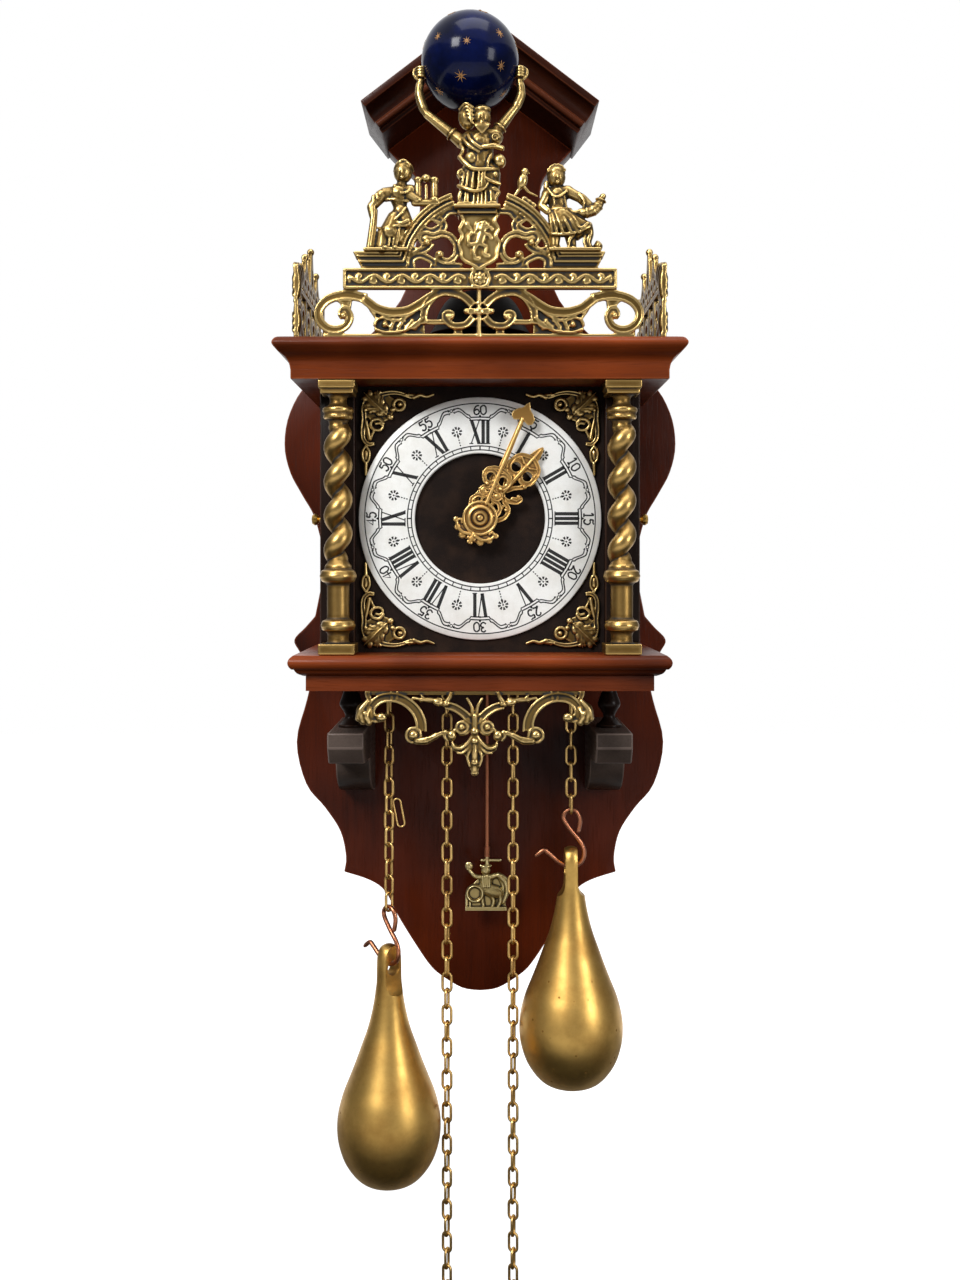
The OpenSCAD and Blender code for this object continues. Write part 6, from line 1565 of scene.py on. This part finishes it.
def minute_hand():
    """Long blade with a spade tip, and a tail of scrolls and beads."""
    s = Shape()
    low, top = 124.0, 125.7

    def band(points, w, up=0.0):
        s.band(spline([(side * u, v) for u, v in points], 5), w, low, top + up - 0.3, 0.42)
    s.plate(whorl((0, 0), 11.2, 11.2, 0, 360, 40)[:-1], low, top - 0.4)
    s.hoop((0, 0), 10.3, top - 0.5, 1.0, 40)
    for side in (-1, 1):
        band([(8.4, 4), (9.6, 9), (7.2, 12.8), (3.4, 13.6), (1.2, 17)], (2.6, 2.2))
        band([(2.4, 9), (3.6, 11.6), (2.2, 14)], (1.3, 1.2))
        band([(1.2, 15), (4.6, 14.6), (7, 16.6), (5.6, 19.4), (2.4, 19.4), (1, 22)], (2.2, 2.0))
        s.ball((side * 4.6, 17, top - 0.6), (2.2, 1.4, 0.9), side * 30)
        s.band(whorl((side * 4.1, 26.6), 4.1, 4.1, 0, 360, 30), 2.7, low, top - 0.3, 0.5)
        band([(1.6, 22.4), (5.4, 22), (8.4, 25.4), (8.2, 29.8), (4.6, 32.6), (1, 33.6)], (2.2, 2.2))
        s.ball((side * 4.6, 21.8, top - 0.3), 1.5)
        for k, r in ((1.25, 2.5), (2.4, 2.2), (3.4, 1.8)):
            a = math.radians(-90 + side * 19 * k)
            c = (15.2 * math.cos(a), 15.2 * math.sin(a))
            s.ball((c[0], c[1], top - 0.7), (r, r, 1.2))
            s.hoop(c, r * 0.62, top - 0.2, 0.5, 16)
        curl = [(side * 1.6, -11.6), (side * 6.2, -12.4), (side * 10.4, -10.6), (side * 12.6, -7.2),
                (side * 10.8, -5.2), (side * 9.4, -7)]
        s.wire(curl, top - 0.4, (1.3, 0.8))
    s.leaf((0, -10.4), -90, 7.4, 6.4, top - 0.5, 1.3, 3)
    fan = [(15.6 * math.cos(math.radians(t)), 15.6 * math.sin(math.radians(t))) for t in range(-158, -21, 8)]
    s.plate([(-6, -3)] + fan + [(6, -3)], low, top - 0.8)
    s.plate([(-1.8, 8), (1.8, 8), (1.9, 36), (1.35, 70), (-1.35, 70), (-1.9, 36)], low, top - 0.5)
    s.tube([(0, 10, top - 0.5), (0, 34, top - 0.4), (0, 68, top - 0.7)], (1.4, 1.0), 0.9)
    spade = [(-1.3, 77.6), (-2.3, 75.2), (-5.0, 73.2), (-7.4, 70.4), (-7.2, 67.2), (-5.2, 65.6), (-2.8, 66.2),
             (-1.2, 67.4)]
    s.plate([(0, 79.4)] + spade + [(-x, z) for x, z in spade[::-1]], low, top - 0.2)
    s.points = [(x, z + DIAL_Z, max(d, low)) for x, z, d in s.points]
    s.turned_by(MINUTE_ANGLE, (0, DIAL_Z))
    casting(s, "minute_hand_gilt", "minute_hand", gilt, 0.28, depth=0.34, body="minute", slot_name="gilt_hands")


def hand_collar():
    """Turned rings and nut in front of the minute hand, with the pipe behind it."""
    s = Shape()
    rows = [(2.45, 104.8), (2.45, 125.2), (8.2, 125.3), (8.3, 126.0), (7.6, 126.7), (6.6, 126.9), (5.9, 126.3),
            (5.5, 125.9), (5.1, 126.1), (4.7, 127.0), (4.2, 127.7), (3.0, 127.9), (2.4, 127.3), (2.0, 127.4),
            (1.5, 128.4), (0.8, 128.7), (0.05, 128.7)]
    turns = [2 * math.pi * k / 64 for k in range(64)]
    s.rings([[(r * math.cos(a), DIAL_Z + r * math.sin(a), d) for a in turns] for r, d in rows])
    me = s.mesh("hand_nut_gilt")
    tag = me.attributes.new("recess", "FLOAT", "POINT")
    tag.data.foreach_set("value", [0.9 if r in (5.5, 5.1, 5.9, 2.4, 2.0) else -0.5 for r, d in rows
                                   for _ in turns])
    smooth(me, 40)
    piece("hand_nut_gilt", me, "minute", gilt, "gilt_hands", "hand_nut")


dial_ring()
dial_print()
spandrels()
hour_hand()
minute_hand()
hand_collar()


# ---- pendulum
def pendulum():
    """A pierced rider on horseback for a bob, and the wire rod it hangs on."""
    s = Shape()
    x0, z0 = 5.0, -503.0
    low, top, mid = 33.0, 37.0, 35.0

    def bar(points, r, flat=1.0):
        s.tube([(x0 + p[0], z0 + p[1], mid + (p[2] if len(p) > 2 else 0)) for p in points], r, flat)

    def lump(u, v, rad, turn=0.0, up=0.0):
        s.ball((x0 + u, z0 + v, mid + up), rad, turn)
    s.box(x0 - 15.4, x0 + 13.8, z0 - 35.6, z0 - 33.2, low + 0.2, top - 0.2)
    s.plate([(x0 + u, z0 + v) for u, v in ((-14.6, -34), (13, -34), (13.4, -16), (9, -11.6), (2, -13),
                                           (-4, -12), (-9, -16.6), (-14, -20))], low, low + 1.1)
    bar([(-4, -0.6), (9, -0.6)], 1.1)
    bar([(0, 2), (0, -5)], 1.5)
    lump(-1, -7.6, (3.4, 3.8, 2.4))
    lump(-1.2, -5, (3.9, 1.4, 2.2))
    bar([(-4.6, -4.4), (2.6, -4.4)], 0.8)
    lump(-0.6, -15, (4.4, 5.6, 2.4))
    for k in range(4):
        bar([(-3.4 + 1.8 * k, -11.4, 1.6), (-2.6 + 1.4 * k, -19, 1.9)], 0.55)
    bar(spline([(-3.6, -12.6), (-9, -11.4), (-13.6, -6)], 4), (1.8, 1.2))
    lump(-12.8, -4.8, (2.8, 3.4, 1.4), 20)
    bar([(-13.8, -7, 0.6), (-11.6, -2.2, 0.6)], 0.6)
    bar(spline([(2.6, -12.4), (8.4, -11), (13, -13.6)], 4), (2.1, 1.4))
    bar(spline([(8, -11), (12.6, -16), (14, -23), (11.6, -30)], 4), (2.2, 1.2))
    bar(spline([(9.6, -14), (11.4, -20), (10.4, -28)], 4), (1.3, 0.8))
    s.hoop((x0 - 8.6, z0 - 24), 5.4, mid, 1.25, 32)
    s.hoop((x0 - 8.6, z0 - 24), 5.4, mid + 1.2, 0.6, 32)
    lump(4, -22.4, (8.6, 4.6, 2.3), -16)
    lump(-2, -19.4, (3.2, 4.4, 2.0), 30)
    bar(spline([(-2, -20), (-3.6, -25.4), (-2.4, -33.6)], 4), (1.7, 1.1))
    bar(spline([(2.8, -25), (4.6, -29), (3.4, -34)], 4), (1.6, 1.1))
    bar(spline([(9, -25), (9.4, -29.6), (7.2, -34)], 4), (1.7, 1.1))
    bar([(-14.4, -25), (-14.4, -34)], 1.1)
    bar([(-12, -29), (-12, -34)], 0.8)
    s.points = [(x, z, min(max(d, low - 0.3), top + 0.3)) for x, z, d in s.points]
    casting(s, "rider_casting", "pendulum_rider", bob_brass, 0.32, reach=12, depth=0.34, body="pendulum")
    r = Shape()
    r.tube([(x0, -205.0, mid), (x0, -350.0, mid), (x0, -503.5, mid)], 1.45, 1.0, 16, False)
    r.hoop((x0, -203.0), 3.75, mid, 1.6, 32, 1.5, 12)
    for z in (-214.0, -494.0):
        r.tube([(x0, z, mid), (x0, z - 7, mid)], 2.1, 1.0, 16, False)
    bare(r, "pendulum_rod_wire", "pendulum", rod_steel, "steel", "pendulum_rod", angle=50)


pendulum()


# ---- chains, hooks and weights
STRAND_D, STRAND_TOP = 80.0, -299  # depth of the plumb lines, and the height of their upper ends
PITCH, LINK_INSIDE = 10.8, 10.92  # from link to link, and the room inside a link of the CAD
WEIGHT_X, FREE_X, FREE_LINKS = 60.5, 22.0, 45
RING_R, RING_WIRE, HANG_GAP = 9.0, 0.9, 0.08  # pull rings: radius, half their wire, play in the link
GOING_HOOK_Z, STRIKE_HOOK_Z, HOOK_TO_FOOT = -524.1, -459.28, 184.0


def strand_tree():
    """A hanging run of links, every other one turned a quarter, with a slight twist from link to link."""
    tree, ids, take = growth("chain_strand", "Chain", (
        ("Links", "Int"), ("Top", "Vector"), ("Pitch", "Float"), ("Inner Width", "Float"), ("Length", "Float"),
        ("Wire", "Float"), ("Turn", "Float"), ("Twist", "Float"), ("Seed", "Int"), ("Finish", "Material")))
    loop = put(tree, "GeometryNodeCurvePrimitiveQuadrilateral",
               {"Width": take["Inner Width"], "Height": take["Length"]}).outputs[0]
    loop = put(tree, "GeometryNodeFilletCurve", {"Curve": loop,
            "Radius": times(tree, take["Inner Width"], 0.499), "Count": 5}, mode="POLY").outputs[0]
    ring = put(tree, "GeometryNodeCurvePrimitiveCircle", {"Resolution": 8, "Radius": take["Wire"]}).outputs[0]
    link = put(tree, "GeometryNodeCurveToMesh", {"Curve": loop, "Profile Curve": ring}).outputs[0]
    link = put(tree, "GeometryNodeTransform", {"Geometry": link, "Rotation": (QUARTER, 0, 0)}).outputs[0]
    link = put(tree, "GeometryNodeSetShadeSmooth", {"Geometry": link}).outputs[0]
    drop = put(tree, "ShaderNodeCombineXYZ", {"Z": times(tree, take["Pitch"], -1.0)}).outputs[0]
    row = put(tree, "GeometryNodeMeshLine", {"Count": take["Links"], "Start Location": take["Top"],
            "Offset": drop}, mode="OFFSET").outputs[0]
    index = tree.nodes.new("GeometryNodeInputIndex").outputs[0]
    odd = sums(tree, "MODULO", plus(tree, index, 1.0), 2.0)
    sway = put(tree, "FunctionNodeRandomValue", {2: times(tree, take["Twist"], -1.0), 3: take["Twist"],
            "Seed": take["Seed"]}, data_type="FLOAT").outputs[1]
    turn = plus(tree, times(tree, odd, QUARTER), sway)
    share = sums(tree, "DIVIDE", plus(tree, index, 1.0), take["Links"])
    turn = less(tree, turn, times(tree, share, take["Turn"]))
    spin = put(tree, "FunctionNodeEulerToRotation", {0: put(tree, "ShaderNodeCombineXYZ",
            {"Z": turn}).outputs[0]}).outputs[0]
    made = put(tree, "GeometryNodeInstanceOnPoints", {"Points": row, "Instance": link,
            "Rotation": spin}).outputs[0]
    end_growth(tree, made, take["Finish"])
    return tree, ids


STRAND, STRAND_IDS = strand_tree()
LEFT_TURN = math.radians(41)


def strand(x, count, name, seed, turn):
    """One plumb run of links; turn is how far the last link is turned from the first."""
    return grown(name, bpy.data.meshes.new(name), STRAND, STRAND_IDS, {
        "Links": count, "Top": (x * MM, -STRAND_D * MM, (STRAND_TOP - PITCH / 2) * MM), "Pitch": PITCH * MM,
        "Inner Width": 0.0059, "Length": 0.01274, "Wire": 0.00096, "Turn": turn, "Twist": 0.12, "Seed": seed,
        "Finish": chain_brass})


def chains():
    """The four strands, the pull rings of the free ones and the stop ring on the going chain."""
    for x, count, name, body, node, seed, turn in (
            (-WEIGHT_X, 21, "going_weight_links", "going_weight", "going_weight_chain", 3, LEFT_TURN),
            (WEIGHT_X, 15, "strike_weight_links", "strike_weight", "strike_weight_chain", 5, 0.0),
            (-FREE_X, FREE_LINKS, "going_free_links", "going_free_chain", "going_free_chain", 8, 0.45),
            (FREE_X, FREE_LINKS, "strike_free_links", "strike_free_chain", "strike_free_chain", 11, 0.45)):
        piece(name, strand(x, count, name, seed, turn), body, chain_brass, "chain_brass", node)
        if count == FREE_LINKS:
            low = STRAND_TOP - PITCH * (count - 0.5) - LINK_INSIDE / 2
            s = Shape()
            s.hoop((x, low + RING_WIRE + HANG_GAP - RING_R), RING_R, STRAND_D, RING_WIRE, 48, 1.0, 12)
            bare(s, name + "_ring", body, chain_brass, "chain_brass")
    s = Shape()
    lean = math.radians(11)
    oval = [(2.4 * math.cos(math.radians(t)), shift + 2.4 * math.sin(math.radians(t)))
            for shift, turns in ((7, range(0, 181, 12)), (-7, range(180, 361, 12))) for t in turns]
    loop = lifted([(-53.9 + u * math.cos(lean) - v * math.sin(lean),
                    -461.5 + u * math.sin(lean) + v * math.cos(lean)) for u, v in oval], STRAND_D)
    s.tube(loop, 0.65, 1.0, 10, closed=True)
    bare(s, "stop_ring_wire", "going_weight", chain_brass, "chain_brass", "stop_ring")


HOOK = [(4.9, -14.4), (6, -7.4), (4, -2), (0, 0), (-4, -2), (-4.7, -6.6), (0.4, -14.4), (6.6, -22),
        (8.8, -28.8), (6.6, -35.2), (0, -38), (-7.4, -35.2), (-14.8, -29.2), (-18.2, -27.1), (-23.2, -30.6)]
PEAR = [(8, 0), (20, 5.2), (28.8, 16), (33.2, 28), (34.4, 38.6), (33.5, 48.8), (30.6, 60), (26.4, 70.6),
        (22.3, 81), (18.3, 92), (14.5, 102.5), (11.7, 113), (9.6, 124), (8.6, 134), (8.4, 146), (8.0, 151.6),
        (6.2, 156.6), (2.8, 159), (0.05, 159.3)]


def hung(shape, x, turn):
    """Moves what is drawn about the plumb line to the strand at x, turned about it."""
    c, s = math.cos(turn), math.sin(turn)
    shape.points = [(x + u * c - e * s, z, STRAND_D + u * s + e * c) for u, z, e in shape.points]


def hook(x, turn, z, name, body, node):
    """Bent copper wire between a chain and its weight."""
    s = Shape()
    path = [(u, z + v, 0.0) for u, v in spline(HOOK, 8)]
    s.tube(path, [1.5] * (len(path) - 3) + [1.45, 1.35, 1.2], 1.0, 16)
    hung(s, x, turn)
    bare(s, name, body, copper, "copper_wire", node, angle=60)


def weight(x, turn, low, name, body, node):
    """A pear turned in one piece, its neck scooped flat on both sides and drilled for the hook."""
    s = Shape()
    rows = [(0.05, 0.0), (4, 0.0)] + [(float(q[0]), float(q[1])) for q in spline(PEAR, 8)]
    s.turned((0, low, 0), rows, 120)
    main = placed(name, s.mesh(name))
    cuts = []
    for side in (-1, 1):
        cut = Shape()
        scoop = spline([(4.1, 139), (4.6, 133), (6.6, 128.6), (10.4, 126)], 5)
        run = [(side * u, low + v) for u, v in [(4.1, 175), (4.1, 139), *scoop, (30, 124), (30, 175)]]
        cut.plate(run if side < 0 else run[::-1], -30, 30)
        cuts.append(placed("scoop", cut.mesh("scoop")))
    bore = Shape()
    bore.tube([(-20, low + 144.3, 0), (20, low + 144.3, 0)], 5.2, 1.0, 32)
    cuts.append(placed("bore", bore.mesh("bore")))
    for cut in cuts:
        faced_out(cut.data)
        mod = main.modifiers.new("cut", "BOOLEAN")
        mod.operation, mod.solver, mod.object = "DIFFERENCE", "EXACT", cut
    soft = main.modifiers.new("soft", "BEVEL")
    soft.width, soft.segments, soft.limit_method, soft.angle_limit = 0.5 * MM, 2, "ANGLE", math.radians(35)
    me = plain_mesh(main, name)
    for cut in cuts:
        bpy.data.objects.remove(cut)
    c, q = math.cos(turn), math.sin(turn)
    me.transform(Matrix(((c, q, 0, x * MM), (-q, c, 0, -STRAND_D * MM), (0, 0, 1, 0), (0, 0, 0, 1))))
    smooth(me, 35)
    piece(name, me, body, weight_brass, "weight_brass", node)


chains()
LOADS = (("strike", WEIGHT_X, 0.0, STRIKE_HOOK_Z), ("going", -WEIGHT_X, LEFT_TURN, GOING_HOOK_Z))
for load, x, turn, z in LOADS:
    hook(x, turn, z, load + "_hook_wire", load + "_weight", load + "_hook")
for load, x, turn, z in LOADS:
    weight(x, turn, z - HOOK_TO_FOOT, load + "_weight_pear", load + "_weight", load + "_weight")


# ---- finishes of the pieces that keep their CAD shape
# the bell takes the near-black painted shade, not its bronze colour
FINISH = {"dial_plate": ground_mat, "bell": bell_painted_shade, "door_glass_left": glass_mat,
          "door_glass_right": glass_mat, "door_knob_left": movement_brass, "door_knob_right": movement_brass}
for name in ("hanger_plate", "door_pivot_pins", "going_sprocket", "strike_sprocket", "pallet_anchor", "hammer",
             "bell_post"):
    FINISH[name] = steel
for name in ("front_plate", "rear_plate", "plate_pillars", "going_great_wheel", "centre_wheel", "third_wheel",
             "escape_wheel", "minute_wheel", "hour_wheel", "strike_great_wheel", "pin_wheel", "pendulum_cock"):
    FINISH[name] = movement_brass
for name, mat in FINISH.items():
    obj = nodes[name]
    if obj.material_slots:
        for held in obj.material_slots:
            held.material = mat
    else:
        obj.data.materials.append(mat)
